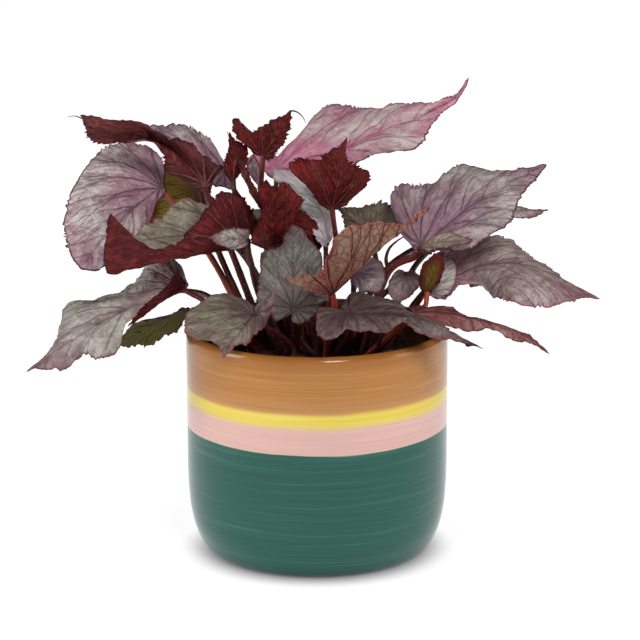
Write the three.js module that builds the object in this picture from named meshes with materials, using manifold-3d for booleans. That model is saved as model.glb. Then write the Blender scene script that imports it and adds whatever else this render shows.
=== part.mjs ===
// Potted begonia: a hand-painted glazed pot, potting soil, a creeping rootstock with its stalks,
// and the leaf blades. Millimetres, +Z up, +X to the right, +Y away from the viewer. The origin is
// the centre of the pot's foot.
import * as THREE from "three";
import { mergeVertices } from "three/addons/utils/BufferGeometryUtils.js";
import Module from "manifold-3d";

const wasm = await Module();
wasm.setup();

// ---- driving dimensions ----
const POT = {
  radius: 75, // outside of the straight wall
  footRadius: 55, // flat disc that the pot stands on
  footCurveTop: 62, // height where the rounded foot meets the straight wall
  footSquareness: 3.2, // exponents of the foot's rounded profile
  footFullness: 2.3,
  footSteps: 7,
  footStepGrowth: 1.8, // the steps are closest at the flat disc, where the foot curves most
  height: 130.5, // top of the lip
  wall: 6.5,
  floor: 9,
  insideTaperTop: 34, // the inside narrows below this height
  insideTaper: 14, // by this much at the floor
  lip: 3.2, // radius of the lip's rounding
  lipSteps: 4,
  sides: 48,
};
const SOIL = { top: 112, edgeDrop: 2, edgeWidth: 5, crown: 1 };
const CLEARANCE = 0.35; // gap between pieces that touch
const BLADE_THICKNESS = 0.7;
const TRIM_CLEARANCE = 1.4 * CLEARANCE; // growth of the blade that trims its stalk
const STALK = {
  rootRadius: 2.7,
  tipRadius: 1.5,
  hump: 0.16, // rise of a plain stalk's middle, as a share of its length
  neck: 7, // length of the straight end at the blade
  neckShare: 0.12, // and the most of the stalk's length that it takes
  leastSlant: 0.55, // cosine between the straight end and the blade's normal
  spread: 0.42, // how far the root follows its blade out from the middle
  sides: 5,
  steps: 5,
};
const ROOTSTOCK = {
  z: SOIL.top - 1,
  knob: 11.7, // radius of the round middle
  thick: 9, // radius of an arm where it leaves the middle
  thin: 5, // and at its end
  flatness: 0.8,
  bend: 0.12,
  stalksFrom: 0.15, // stretch of an arm that carries stalks
  stalksTo: 0.84,
  stalkRise: 2, // height of the stalks' roots over the arm's middle line
  sides: 8,
  steps: 3,
};
const ROUGHNESS = { glaze: 0.2, soil: 0.95, stalk: 0.6, blade: 0.55 };
const COLOURS = {
  pot: 0x3d6f69,
  soil: 0x2b211b,
  stalk: 0x6b2426,
  silver: 0xa39aa0,
  pink: 0xb08a9c,
  green: 0x8f9a8c,
  red: 0x6a2531,
  tan: 0xb08a78,
  olive: 0x6f7040,
};

// ---- the photograph's point of view, so that a blade can be placed where it is seen ----
// A landmark is [pixel across, pixel down, depth], where depth is its y in mm.
const VIEW = {
  distance: 1500,
  elevation: 13.44, // degrees
  roll: -0.255, // degrees
  focal: 2628.2, // focal length in pixels
  middle: 320, // pixel across and down at the picture's middle
  aimX: 1.9, // the point of the pot's axis plane that the picture's middle shows
  aimZ: 134.3,
};
const tilt = THREE.MathUtils.degToRad(VIEW.elevation);
const roll = THREE.MathUtils.degToRad(VIEW.roll);
const forward = new THREE.Vector3(0, Math.cos(tilt), -Math.sin(tilt));
const eye = new THREE.Vector3(VIEW.aimX, 0, VIEW.aimZ).addScaledVector(forward, -VIEW.distance);
const viewUp = new THREE.Vector3(0, Math.sin(tilt), Math.cos(tilt));
const viewRight = new THREE.Vector3(1, 0, 0);
const across = viewRight.clone().multiplyScalar(Math.cos(roll)).addScaledVector(viewUp, Math.sin(roll));
const upward = viewUp.clone().multiplyScalar(Math.cos(roll)).addScaledVector(viewRight, -Math.sin(roll));

function sightLine([px, py]) {
  return forward
    .clone()
    .addScaledVector(across, (px - VIEW.middle) / VIEW.focal)
    .addScaledVector(upward, (VIEW.middle - py) / VIEW.focal);
}

function seen([px, py, depth]) {
  const ray = sightLine([px, py]);
  return eye.clone().addScaledVector(ray, (depth - eye.y) / ray.y);
}

function seenOnPlane(pixel, point, normal) {
  const ray = sightLine(pixel);
  const reach = point.clone().sub(eye).dot(normal) / ray.dot(normal);
  return eye.clone().addScaledVector(ray, reach);
}

// ---- leaf blades ----
// Outline of one half of a plain blade: share of the way from the stalk to the tip, and share of
// the half's width. It is used where the photograph hides a half.
const HALF_OUTLINE = [
  [-0.14, 0.34],
  [-0.16, 0.74],
  [0.06, 0.99],
  [0.34, 0.93],
  [0.6, 0.62],
  [0.82, 0.27],
  [0.93, 0.09],
];
const SINUS = -0.05; // the notch behind the stalk, as a share of the midrib

// Each blade: centre is where the stalk joins, tip is its point. A half is a list of landmarks from
// the notch to the tip, with the depth of its widest landmark, which sets the half's plane. A
// landmark off that plane has its own depth. One widest landmark alone shapes the plain outline.
// top is 1 where the viewer sees the upper face and -1 where they see the underside. arch is how
// far the blade bows, in mm. midrib is a list of landmarks that a curved midrib passes, and via is a
// landmark that the stalk passes.
const SEEN_BLADES = {
  left_round: {
    colour: "pink",
    top: 1,
    centre: [161, 187, 24],
    tip: [80, 269, -26],
    halves: [
      {
        depth: 34,
        edge: [
          [165, 178], [160, 157], [145, 144], [120, 144], [93, 158], [75, 185], [65, 215],
          [66, 243], [73, 262],
        ],
      },
      {
        depth: -10,
        edge: [
          [166, 191], [157, 204], [150, 220], [144, 238], [128, 256], [100, 270],
        ],
      },
    ],
    arch: 5,
    via: [214, 262, 14],
  },
  left_folded: {
    colour: "red",
    top: -1,
    centre: [244, 249, -20],
    tip: [107, 275, -50],
    halves: [
      {
        depth: -34,
        edge: [
          [247, 232], [246, 215], [241, 199], [220, 188], [203, 214], [184, 236], [154, 243],
          [124, 230], [110, 214], [103, 256],
        ],
      },
      { depth: -10, edge: [[238, 222], [210, 203], [185, 200], [160, 212], [130, 242]] },
    ],
    arch: -2,
    via: [256, 280, -12],
  },
  left_small_silver: {
    colour: "silver",
    top: 1,
    centre: [248, 240, -33],
    tip: [207, 238, -50],
    halves: [
      { depth: -38, edge: [[249, 231], [238, 228], [222, 230]] },
      { depth: -46, edge: [[247, 246], [231, 250], [216, 244]] },
    ],
    arch: 1,
    small: true,
    via: [256, 286, -24],
  },
  upper_left_red: {
    colour: "red",
    top: -1,
    centre: [205, 187, 11],
    tip: [79, 118, -8],
    halves: [
      {
        depth: -12,
        edge: [
          [214, 180], [223, 167], [200, 154], [176, 139], [151, 131], [124, 123], [98, 119],
        ],
      },
      {
        depth: 16,
        edge: [
          [195, 187], [169, 172], [160, 156], [145, 143], [123, 143], [107, 148], [91, 143],
          [84, 127],
        ],
      },
    ],
    midrib: [[187, 168, 8], [166, 151, 4], [142, 137, 1], [112, 131, -3]],
    arch: 2,
    via: [227, 240, 14],
  },
  upper_left_pink: {
    colour: "pink",
    top: 1,
    centre: [226, 172, 40],
    tip: [140, 131, 40],
    halves: [
      { depth: 52, edge: [[226, 163], [215, 148], [202, 133], [190, 127], [172, 125], [152, 127]] },
      { depth: 30, edge: [[180, 170]] },
    ],
    arch: 3,
  },
  left_olive: {
    colour: "olive",
    top: -1,
    centre: [200, 190, 34],
    tip: [151, 240, 40],
    halves: [
      { depth: 46, edge: [[198, 205], [184, 210], [170, 224]] },
      { depth: 40, edge: [[160, 190]] },
    ],
    arch: 2,
    small: true,
    via: [214, 240, 18],
  },
  left_long: {
    colour: "silver",
    top: 1,
    centre: [181, 288, -8],
    tip: [27, 373, -44],
    halves: [
      {
        depth: 12,
        edge: [
          [186, 279], [180, 265], [165, 259], [148, 262], [137, 278], [126, 295], [108, 298],
          [86, 303], [68, 302], [60, 332], [48, 351],
        ],
      },
      {
        depth: -46,
        edge: [
          [182, 294], [159, 303], [134, 321], [121, 334], [119, 348], [108, 357], [96, 362],
          [86, 357], [65, 368], [46, 371],
        ],
      },
    ],
    arch: 5,
    via: [204, 301, -6],
  },
  left_low_green: {
    colour: "olive",
    top: -1,
    centre: [188, 311, 18],
    tip: [120, 346, 14],
    halves: [
      { depth: 0, edge: [[188, 308], [175, 312], [161, 321], [140, 322], [125, 333]] },
      { depth: 30, edge: [[186, 320], [173, 334], [155, 343], [142, 347], [129, 348]] },
    ],
    arch: 2,
    small: true,
    via: [206, 311, 16],
  },
  front_left: {
    colour: "green",
    top: 1,
    centre: [253, 317, -52],
    tip: [224, 356, -98],
    halves: [
      {
        depth: -68,
        edge: [
          [254, 308], [241, 297], [227, 295], [213, 297], [200, 302], [186, 315], [186, 331],
          [200, 343], [213, 345],
        ],
      },
      {
        depth: -50,
        edge: [
          [262, 306, -50], [274, 293, -46], [272, 309, -48], [265, 325], [255, 336], [244, 345],
          [234, 349],
        ],
      },
    ],
    arch: 5,
    via: [290, 346, -26],
  },
  centre_green: {
    colour: "green",
    top: 1,
    centre: [293, 309, -42],
    tip: [292, 224, -24],
    halves: [
      {
        depth: -37,
        edge: [
          [286, 317], [275, 321], [270, 312], [257, 304], [257, 288], [260, 270], [262, 252],
          [280, 247], [284, 236],
        ],
      },
      {
        depth: -32,
        edge: [
          [291, 321], [298, 324], [310, 319], [320, 308], [325, 293], [322, 277], [321, 253],
          [309, 239], [301, 229],
        ],
      },
    ],
    arch: 4,
    via: [300, 340, -16],
  },
  centre_tan: {
    colour: "tan",
    top: -1,
    centre: [332, 295, -54],
    tip: [432, 208, -64],
    halves: [
      {
        depth: -76,
        edge: [
          [324, 291], [303, 286], [284, 279], [300, 273], [321, 277], [329, 248], [336, 235],
          [347, 229], [367, 227], [384, 223], [405, 222], [420, 213],
        ],
      },
      { depth: -42, edge: [[375, 238]] },
    ],
    midrib: [[375, 247, -62]],
    arch: -3,
    via: [330, 318, -34],
  },
  right_upper: {
    colour: "silver",
    top: 1,
    centre: [421, 249, -20],
    tip: [547, 165, -14],
    halves: [
      {
        depth: 12,
        edge: [
          [413, 248], [404, 238], [397, 222], [391, 203], [397, 188], [422, 185], [442, 175],
          [462, 167], [491, 170], [527, 167],
        ],
      },
      {
        depth: -46,
        edge: [
          [427, 253], [439, 252], [453, 252], [468, 248], [483, 242], [497, 235], [507, 227],
          [514, 213], [525, 199], [540, 175],
        ],
      },
    ],
    arch: 5,
    via: [391, 268, -14],
  },
  right_rolled_red: {
    colour: "olive",
    top: -1,
    centre: [374, 240, 16],
    tip: [337, 207, 14],
    halves: [
      {
        depth: 18,
        edge: [[384, 242], [396, 232], [397, 214], [388, 204], [370, 204], [355, 209]],
      },
      { depth: 24, edge: [[350, 236]] },
    ],
    arch: 3,
    via: [379, 288, 16],
  },
  right_middle: {
    colour: "silver",
    top: 1,
    centre: [428, 288, -6],
    tip: [600, 299, -26],
    halves: [
      {
        depth: 26,
        edge: [
          [428, 279], [438, 264], [460, 246], [480, 236], [500, 238], [521, 248], [547, 267],
          [575, 290],
        ],
      },
      {
        depth: -40,
        edge: [
          [429, 296], [439, 299], [450, 294], [457, 289], [472, 286], [484, 288], [496, 298],
          [513, 305], [535, 306], [560, 304], [585, 301],
        ],
      },
    ],
    midrib: [[511, 272, -6]],
    arch: 6,
    via: [411, 312, 4],
  },
  right_back: {
    colour: "pink",
    top: 1,
    centre: [452, 226, 44],
    tip: [549, 212, 40],
    halves: [
      { depth: 58, edge: [[492, 200]] },
      { depth: 38, edge: [[494, 228]] },
    ],
    arch: 4,
  },
  right_small_red: {
    colour: "red",
    top: -1,
    centre: [427, 292, -30],
    tip: [434, 253, -38],
    halves: [
      { depth: -36, edge: [[420, 286], [420, 268], [424, 257]] },
      { depth: -34, edge: [[435, 287], [443, 277], [444, 258]] },
    ],
    arch: -2,
    small: true,
    via: [412, 312, -6],
  },
  right_low_narrow: {
    colour: "red",
    top: 1,
    centre: [414, 311, -46],
    tip: [550, 353, -54],
    halves: [
      {
        depth: -38,
        edge: [
          [420, 305], [436, 308], [447, 308], [462, 313], [477, 324], [494, 325], [519, 333],
          [536, 342],
        ],
      },
      {
        depth: -50,
        edge: [
          [416, 319], [433, 324], [447, 329], [469, 331], [491, 332], [513, 339], [538, 349],
        ],
      },
    ],
    midrib: [[440, 315, -46], [466, 321, -46], [494, 328.5, -47], [520, 337, -50]],
    arch: 3,
    via: [396, 330, -18],
  },
  front_right: {
    colour: "silver",
    top: 1,
    centre: [346, 314, -62],
    tip: [483, 350, -84],
    halves: [
      {
        depth: -34,
        edge: [
          [341, 306], [355, 294], [367, 293], [381, 297], [396, 304], [409, 313], [424, 320],
          [441, 329], [465, 342],
        ],
      },
      {
        depth: -92,
        edge: [
          [334, 309], [319, 312], [316, 322], [320, 336], [332, 342], [347, 332], [374, 330],
          [389, 332], [400, 326], [418, 334], [447, 339], [464, 346],
        ],
      },
    ],
    midrib: [[414, 325, -68]],
    arch: 4,
    via: [348, 336, -30],
  },
  middle_purple: {
    colour: "pink",
    top: 1,
    centre: [354, 272, -16],
    tip: [381, 294, -28],
    halves: [
      { depth: -10, edge: [[357, 264], [369, 258], [381, 262], [386, 277]] },
      { depth: -22, edge: [[350, 279], [357, 290], [369, 294]] },
    ],
    arch: 2,
    small: true,
    via: [352, 312, -8],
  },
  right_inner: {
    colour: "green",
    top: 1,
    centre: [406, 274, 10],
    tip: [397, 305, -2],
    halves: [
      { depth: 8, edge: [[413, 270], [421, 281], [414, 293]] },
      { depth: 6, edge: [[400, 269], [389, 281], [389, 295]] },
    ],
    arch: 2,
    small: true,
  },
  centre_red: {
    colour: "red",
    top: -1,
    centre: [272, 247, -8],
    tip: [266, 179, -34],
    halves: [
      {
        depth: -30,
        edge: [
          [284, 243], [288, 228], [296, 218], [304, 201], [296, 192], [286, 185], [280, 191],
          [272, 186],
        ],
      },
      {
        depth: -28,
        edge: [
          [264, 246, -16], [250, 243, -42], [252, 236, -42], [259, 224], [262, 207], [260, 193],
        ],
      },
    ],
    arch: -4,
    via: [280, 300, -4],
  },
  centre_diagonal: {
    colour: "silver",
    top: 1,
    centre: [326, 243, -4],
    tip: [271, 170, 8],
    halves: [
      { depth: -14, edge: [[318, 244], [312, 227], [302, 209], [288, 190], [275, 180]] },
      { depth: 18, edge: [[333, 232], [331, 208], [310, 187], [290, 171]] },
    ],
    midrib: [[324, 222, -2], [314, 203, 1], [298, 187, 4]],
    arch: 2,
    small: true,
    via: [326, 290, 2],
  },
  top_pink: {
    colour: "pink",
    top: 1,
    centre: [276, 170, 38],
    tip: [469, 79, 30],
    halves: [
      {
        depth: 62,
        edge: [
          [264, 171], [248, 168], [255, 153], [275, 155], [290, 144], [307, 129], [319, 112],
          [330, 104], [345, 104], [365, 109], [380, 110], [393, 105], [412, 102], [430, 102],
          [447, 99],
        ],
      },
      {
        depth: 16,
        edge: [
          [280, 182], [300, 186], [328, 176], [353, 166], [372, 158], [401, 151], [418, 147],
          [430, 133], [439, 118], [452, 106],
        ],
      },
    ],
    midrib: [[345, 154, 30], [440, 109, 27]],
    arch: 6,
    via: [272, 250, 24],
  },
  top_red: {
    colour: "red",
    top: -1,
    centre: [332, 209, -14],
    tip: [347, 136, -32],
    halves: [
      {
        depth: -28,
        edge: [
          [321, 205], [306, 186], [289, 165], [306, 160], [322, 157], [337, 150],
        ],
      },
      { depth: -18, edge: [[340, 208], [356, 196], [371, 178], [360, 168], [348, 160]] },
    ],
    arch: -4,
    via: [336, 250, -2],
  },
  top_small_red: {
    colour: "red",
    top: -1,
    centre: [263, 155, -14],
    tip: [291, 111, -30],
    halves: [
      {
        depth: -26,
        edge: [
          [254, 152], [244, 139], [235, 121], [248, 132], [262, 125], [277, 120],
        ],
      },
      { depth: -18, edge: [[270, 162], [281, 146], [290, 130]] },
    ],
    arch: -2,
    small: true,
    via: [262, 200, -4],
  },
  top_left_small_red: {
    colour: "red",
    top: -1,
    centre: [233, 181, -8],
    tip: [229, 133, -18],
    halves: [
      { depth: -12, edge: [[226, 176], [224, 164], [228, 150]] },
      { depth: -12, edge: [[240, 174], [248, 160], [247, 148], [237, 142]] },
    ],
    midrib: [[235, 166, -12], [236, 154, -14]],
    arch: -1,
    small: true,
    via: [240, 230, 0],
  },
};

// Blades on the far side of the plant, behind what the photograph shows, in the same landmarks.
const HIDDEN_BLADES = {
  back_left: {
    colour: "pink",
    centre: [192, 214, 56],
    tip: [112, 180, 118],
    wide: [[150, 168, 104], [132, 232, 72]],
  },
  back_middle: {
    colour: "silver",
    centre: [292, 236, 52],
    tip: [297, 196, 138],
    wide: [[246, 216, 84], [326, 204, 96]],
  },
  back_right: {
    colour: "pink",
    centre: [432, 236, 60],
    tip: [496, 200, 132],
    wide: [[424, 200, 112], [492, 236, 84]],
  },
  low_back_left: {
    colour: "green",
    centre: [160, 287, 60],
    tip: [104, 308, 116],
    wide: [[138, 280, 100], [134, 308, 74]],
  },
  low_back_middle: {
    colour: "silver",
    centre: [292, 298, 64],
    tip: [290, 266, 140],
    wide: [[262, 279, 98], [323, 277, 100]],
  },
  low_back_right: {
    colour: "green",
    centre: [470, 270, 60],
    tip: [536, 268, 122],
    wide: [[480, 250, 104], [514, 285, 84]],
  },
};

const HIDDEN_ARCH = 5;

function planeNormal(a, b, c) {
  return b.clone().sub(a).cross(c.clone().sub(a)).normalize();
}

// The edge of one half as points in space, from the notch to the tip.
function halfEdge(centre, tip, half) {
  const axis = tip.clone().sub(centre);
  const offAxis = (point) => {
    const rel = point.clone().sub(centre);
    return rel.addScaledVector(axis, -rel.dot(axis) / axis.lengthSq());
  };
  if (half.edge.length > 1) {
    const flat = half.edge.map(([px, py]) => seen([px, py, half.depth]));
    const middle = centre.clone().add(tip).multiplyScalar(0.5);
    const midline = tip.clone().sub(centre).projectOnPlane(forward).normalize();
    const fromMidline = (p) => p.clone().sub(middle).projectOnPlane(forward).cross(midline).length();
    const spread = flat.map(fromMidline);
    const widest = flat[spread.indexOf(Math.max(...spread))];
    const normal = planeNormal(centre, tip, widest);
    return half.edge.map((mark) => (mark.length > 2 ? seen(mark) : seenOnPlane(mark, centre, normal)));
  }
  const widest = seen([...half.edge[0], half.depth]);
  const side = offAxis(widest);
  return HALF_OUTLINE.map(([along, out]) =>
    centre.clone().addScaledVector(axis, along).addScaledVector(side, out),
  );
}

function hiddenBlade({ colour, centre, tip, wide }) {
  const halves = wide.map(([px, py, depth]) => ({ depth, edge: [[px, py]] }));
  return { colour, top: 1, centre, tip, halves, arch: HIDDEN_ARCH };
}

const EDGE_POINTS = { large: 40, small: 24 };
const RING_SHARES = [0.4, 0.75]; // rows of points between the midrib and the edge
const FAN_SHARE = 0.3; // share of each half's edge that fans out from the stalk's end
const MIDRIB_SHARE = 0.88; // how far along the midrib the last pair of side rows starts
const WAVE = { depth: 1.6, smallDepth: 0.8, count: 7 };
const PHASE_STEP = 1.7; // shift of the edge's waves from one blade to the next, in radians
const FULL_BOW_WIDTH = 40; // a half this wide bows by the whole of its arch
const TIP_TAPER = 4; // power by which the bow across a half fades towards the tip
// Height of the teeth past and short of the outline, their distance from the blade's ends where they
// start to fade, and the width of a half where they do.
const TOOTH = { out: 1, in: 1.5, fade: 22, width: 14 };

// Edge of the whole blade, an even count of points once round from the notch, with the tip at half.
function bladeEdge(centre, tip, halves, count) {
  const notch = centre.clone().lerp(tip, SINUS);
  const [one, other] = halves.map((half) => {
    const points = [notch, ...halfEdge(centre, tip, half), tip];
    return new THREE.CatmullRomCurve3(points, false, "centripetal").getSpacedPoints(count / 2);
  });
  return [...one, ...other.reverse().slice(1, -1)];
}

function bladeFrame(spec) {
  const centre = seen(spec.centre);
  const tip = seen(spec.tip);
  const count = spec.small ? EDGE_POINTS.small : EDGE_POINTS.large;
  const edge = bladeEdge(centre, tip, spec.halves, count);
  const normal = new THREE.Vector3();
  edge.forEach((p, i) => {
    const next = edge[(i + 1) % count];
    normal.add(p.clone().sub(centre).cross(next.clone().sub(centre)));
  });
  normal.normalize();
  if (normal.dot(forward) * spec.top > 0) normal.negate();
  return { centre, tip, edge, normal, count };
}

// Closed solid of a blade: rows of points from the midrib to the edge, the same on both faces, all
// grown by the extra distance.
function bladeGeometry(spec, phase, extra) {
  const { centre, tip, edge, normal, count } = bladeFrame(spec);
  const marks = [centre, ...(spec.midrib ?? []).map(seen), tip];
  const midrib = new THREE.CatmullRomCurve3(marks, false, "centripetal");
  const rows = count / 2; // rows round the blade, half of them on each side of the midrib
  const last = rows / 2; // the row that ends at the tip
  const fan = Math.round(FAN_SHARE * last);
  const ribShare = (i) => (Math.max(0, Math.min(i, rows - i) - fan) / (last - fan)) * MIDRIB_SHARE;
  const bow = (x) => 4 * x * (1 - x);
  const place = (share, step, tooth = 0, grown = 0) => {
    const along = ribShare(step / 2);
    const rib = midrib.getPointAt(along);
    const reach = edge[step].distanceTo(rib);
    const stretch = tooth * Math.min(1, reach / TOOTH.width) + grown;
    const taper = 1 - (Math.min(step, count - step) / last / 2) ** TIP_TAPER;
    const width = Math.min(1, reach / FULL_BOW_WIDTH) * taper;
    const arch = bow(along) * (1 - share) + bow(share) * width;
    const wave = (spec.small ? WAVE.smallDepth : WAVE.depth) * share ** 3;
    const ripple = Math.sin((2 * Math.PI * WAVE.count * step) / count + phase);
    return rib
      .lerp(edge[step], share * (1 + stretch / Math.max(reach, 1)))
      .addScaledVector(normal, spec.arch * arch + wave * ripple);
  };
  const tooth = (step) => {
    const room = Math.min(edge[step].distanceTo(tip), edge[step].distanceTo(centre));
    return (step % 2 ? -TOOTH.in : TOOTH.out) * Math.min(1, room / TOOTH.fade);
  };
  const points = [];
  for (let i = fan; i <= last; i++) points.push(place(0, 2 * i));
  const rib = (i) => Math.max(0, Math.min(i % rows, rows - (i % rows)) - fan);
  const ringStart = points.length;
  for (const share of RING_SHARES) {
    for (let i = 0; i < rows; i++) points.push(place(share, 2 * i));
  }
  const rimStart = points.length;
  for (let step = 0; step < count; step++) points.push(place(1, step, tooth(step), extra));
  const ring = (k, i) => ringStart + k * rows + (i % rows);
  const rim = (step) => rimStart + (step % count);
  const faces = [];
  for (let i = 0; i < rows; i++) {
    faces.push([rib(i), ring(0, i), ring(0, i + 1)]);
    if (rib(i) !== rib(i + 1)) faces.push([rib(i), ring(0, i + 1), rib(i + 1)]);
    faces.push([ring(0, i), ring(1, i), ring(1, i + 1)]);
    faces.push([ring(0, i), ring(1, i + 1), ring(0, i + 1)]);
    faces.push([ring(1, i), rim(2 * i), rim(2 * i + 1)]);
    faces.push([ring(1, i), rim(2 * i + 1), ring(1, i + 1)]);
    faces.push([ring(1, i + 1), rim(2 * i + 1), rim(2 * i + 2)]);
  }
  return thicken(points, faces, rim, count, BLADE_THICKNESS + 2 * extra);
}

// A closed sheet from one layer of points, each moved half of the thickness to either side.
function thicken(points, faces, rim, count, thickness) {
  const normals = points.map(() => new THREE.Vector3());
  for (const [a, b, c] of faces) {
    const turn = points[b].clone().sub(points[a]).cross(points[c].clone().sub(points[a]));
    for (const k of [a, b, c]) normals[k].add(turn);
  }
  const half = thickness / 2;
  const size = points.length;
  const positions = [];
  for (const sign of [1, -1]) {
    points.forEach((p, k) => {
      const n = normals[k].clone().normalize().multiplyScalar(sign * half);
      positions.push(p.x + n.x, p.y + n.y, p.z + n.z);
    });
  }
  const index = [];
  for (const [a, b, c] of faces) index.push(a, b, c, size + a, size + c, size + b);
  for (let i = 0; i < count; i++) {
    const a = rim(i);
    const b = rim(i + 1);
    index.push(a, size + b, b, a, size + a, size + b);
  }
  const geometry = new THREE.BufferGeometry();
  geometry.setAttribute("position", new THREE.BufferAttribute(new Float32Array(positions), 3));
  geometry.setIndex(index);
  return geometry;
}

// ---- solids ----
const WELD = 1e-4; // vertices closer than this are one

function solidOf(geometry) {
  const bare = new THREE.BufferGeometry().setAttribute("position", geometry.getAttribute("position"));
  bare.setIndex(geometry.index);
  const merged = mergeVertices(bare, WELD);
  return new wasm.Manifold(
    new wasm.Mesh({
      numProp: 3,
      vertProperties: merged.attributes.position.array,
      triVerts: new Uint32Array(merged.index.array),
    }),
  );
}

function geometryOf(solid) {
  const mesh = solid.getMesh();
  const geometry = new THREE.BufferGeometry();
  geometry.setAttribute("position", new THREE.BufferAttribute(mesh.vertProperties, mesh.numProp));
  geometry.setIndex(new THREE.BufferAttribute(mesh.triVerts, 1));
  return geometry;
}

// A tapering rod along a curve. Its end is cut square, or along the blade with the given normal.
function rodGeometry(curve, rootRadius, tipRadius, endNormal, { sides, steps } = STALK) {
  const positions = [];
  const lies = Math.abs(curve.getTangent(0.5).z) < 0.5;
  const up = lies ? new THREE.Vector3(0, 0, 1) : new THREE.Vector3(0, 1, 0);
  for (let k = 0; k <= steps; k++) {
    const share = k / steps;
    const middle = curve.getPoint(share);
    const along = curve.getTangent(share).normalize();
    const sideA = up.clone().cross(along).normalize();
    const sideB = along.clone().cross(sideA);
    const radius = THREE.MathUtils.lerp(rootRadius, tipRadius, share);
    for (let i = 0; i < sides; i++) {
      const angle = (2 * Math.PI * i) / sides;
      const p = middle
        .clone()
        .addScaledVector(sideA, radius * Math.cos(angle))
        .addScaledVector(sideB, radius * Math.sin(angle));
      if (k === steps && endNormal) {
        const slide = middle.clone().sub(p).dot(endNormal) / along.dot(endNormal);
        p.addScaledVector(along, THREE.MathUtils.clamp(slide, -2 * radius, 2 * radius));
      }
      positions.push(...p.toArray());
    }
  }
  positions.push(...curve.getPoint(0).toArray(), ...curve.getPoint(1).toArray());
  const index = [];
  const first = (steps + 1) * sides;
  for (let i = 0; i < sides; i++) {
    const j = (i + 1) % sides;
    for (let k = 0; k < steps; k++) {
      const a = k * sides;
      const b = a + sides;
      index.push(a + i, a + j, b + i, a + j, b + j, b + i);
    }
    index.push(first, j, i, first + 1, steps * sides + i, steps * sides + j);
  }
  const geometry = new THREE.BufferGeometry();
  geometry.setAttribute("position", new THREE.BufferAttribute(new Float32Array(positions), 3));
  geometry.setIndex(index);
  return geometry;
}

// ---- rootstock: arms that creep over the soil from the middle of the pot ----
const ARMS = [
  [-38, 6],
  [-26, -16],
  [6, -26],
  [38, -10],
  [46, 14],
  [18, 30],
  [-16, 26],
];

// The arms and the knob that they leave, all grown by the extra radius.
function armSolid(extra) {
  const { knob, thick, thin, flatness, bend, z } = ROOTSTOCK;
  const pieces = [new THREE.IcosahedronGeometry(knob + extra, 1)];
  for (const [x, y] of ARMS) {
    const end = new THREE.Vector3(x, y, 0);
    end.addScaledVector(end.clone().normalize(), extra);
    const middle = new THREE.Vector3(x / 2 - y * bend, y / 2 + x * bend, 0);
    const curve = new THREE.QuadraticBezierCurve3(new THREE.Vector3(), middle, end);
    pieces.push(rodGeometry(curve, thick + extra, thin + extra, null, ROOTSTOCK));
  }
  for (const piece of pieces) {
    piece.scale(1, 1, flatness);
    piece.translate(0, 0, z);
  }
  return wasm.Manifold.union(pieces.map(solidOf));
}

function nearestArmPoint(target) {
  const { stalksFrom, stalksTo, stalkRise, z } = ROOTSTOCK;
  let best = null;
  for (const [x, y] of ARMS) {
    const along = (target.x * x + target.y * y) / (x * x + y * y);
    const share = THREE.MathUtils.clamp(along, stalksFrom, stalksTo);
    const point = new THREE.Vector3(x * share, y * share, z + stalkRise);
    if (!best || point.distanceTo(target) < best.distanceTo(target)) best = point;
  }
  return best;
}

// A stalk from the rootstock to its blade, trimmed where it meets the blade.
function stalkSolid(spec, room) {
  const { centre, normal } = bladeFrame(spec);
  const below = new THREE.Vector3(centre.x * STALK.spread, centre.y * STALK.spread, ROOTSTOCK.z);
  const root = nearestArmPoint(below);
  const end = centre.clone().addScaledVector(normal, -BLADE_THICKNESS / 2);
  const reach = root.distanceTo(end);
  const points = [root];
  if (spec.via) {
    points.push(seen(spec.via));
  } else {
    points.push(root.clone().lerp(end, 0.5).add(new THREE.Vector3(0, 0, reach * STALK.hump)));
  }
  const approach = end.clone().sub(points[1]).normalize();
  const slant = Math.max(0, STALK.leastSlant - approach.dot(normal));
  approach.addScaledVector(normal, slant).normalize();
  const neck = Math.min(STALK.neck, reach * STALK.neckShare);
  points.push(end.clone().addScaledVector(approach, -neck), end);
  const curve = new THREE.CatmullRomCurve3(points, false, "centripetal");
  const rod = solidOf(rodGeometry(curve, STALK.rootRadius, STALK.tipRadius, normal));
  const pieces = rod.subtract(room).decompose();
  return pieces.reduce((most, piece) => (piece.volume() > most.volume() ? piece : most));
}

// ---- pot and soil ----
function potProfile() {
  const points = [new THREE.Vector2(0, 0), new THREE.Vector2(POT.footRadius, 0)];
  const flare = POT.radius - POT.footRadius;
  for (let k = 1; k <= POT.footSteps; k++) {
    const z = POT.footCurveTop * (k / POT.footSteps) ** POT.footStepGrowth;
    const below = 1 - z / POT.footCurveTop;
    const out = (1 - below ** POT.footSquareness) ** (1 / POT.footFullness);
    points.push(new THREE.Vector2(POT.footRadius + flare * out, z));
  }
  for (let k = 0; k <= POT.lipSteps; k++) {
    const angle = (Math.PI * k) / POT.lipSteps;
    points.push(
      new THREE.Vector2(
        POT.radius - POT.lip * (1 - Math.cos(angle)),
        POT.height - POT.lip + POT.lip * Math.sin(angle),
      ),
    );
  }
  const inside = POT.radius - POT.wall;
  points.push(new THREE.Vector2(inside, POT.insideTaperTop));
  points.push(new THREE.Vector2(inside - POT.insideTaper, POT.floor));
  points.push(new THREE.Vector2(0, POT.floor));
  return points;
}

function soilProfile() {
  const radius = POT.radius - POT.wall - CLEARANCE;
  const bottom = POT.floor + CLEARANCE;
  return [
    new THREE.Vector2(0, bottom),
    new THREE.Vector2(radius - POT.insideTaper, bottom),
    new THREE.Vector2(radius, POT.insideTaperTop),
    new THREE.Vector2(radius, SOIL.top - SOIL.edgeDrop),
    new THREE.Vector2(radius - SOIL.edgeWidth, SOIL.top),
    new THREE.Vector2(0, SOIL.top + SOIL.crown),
  ];
}

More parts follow.
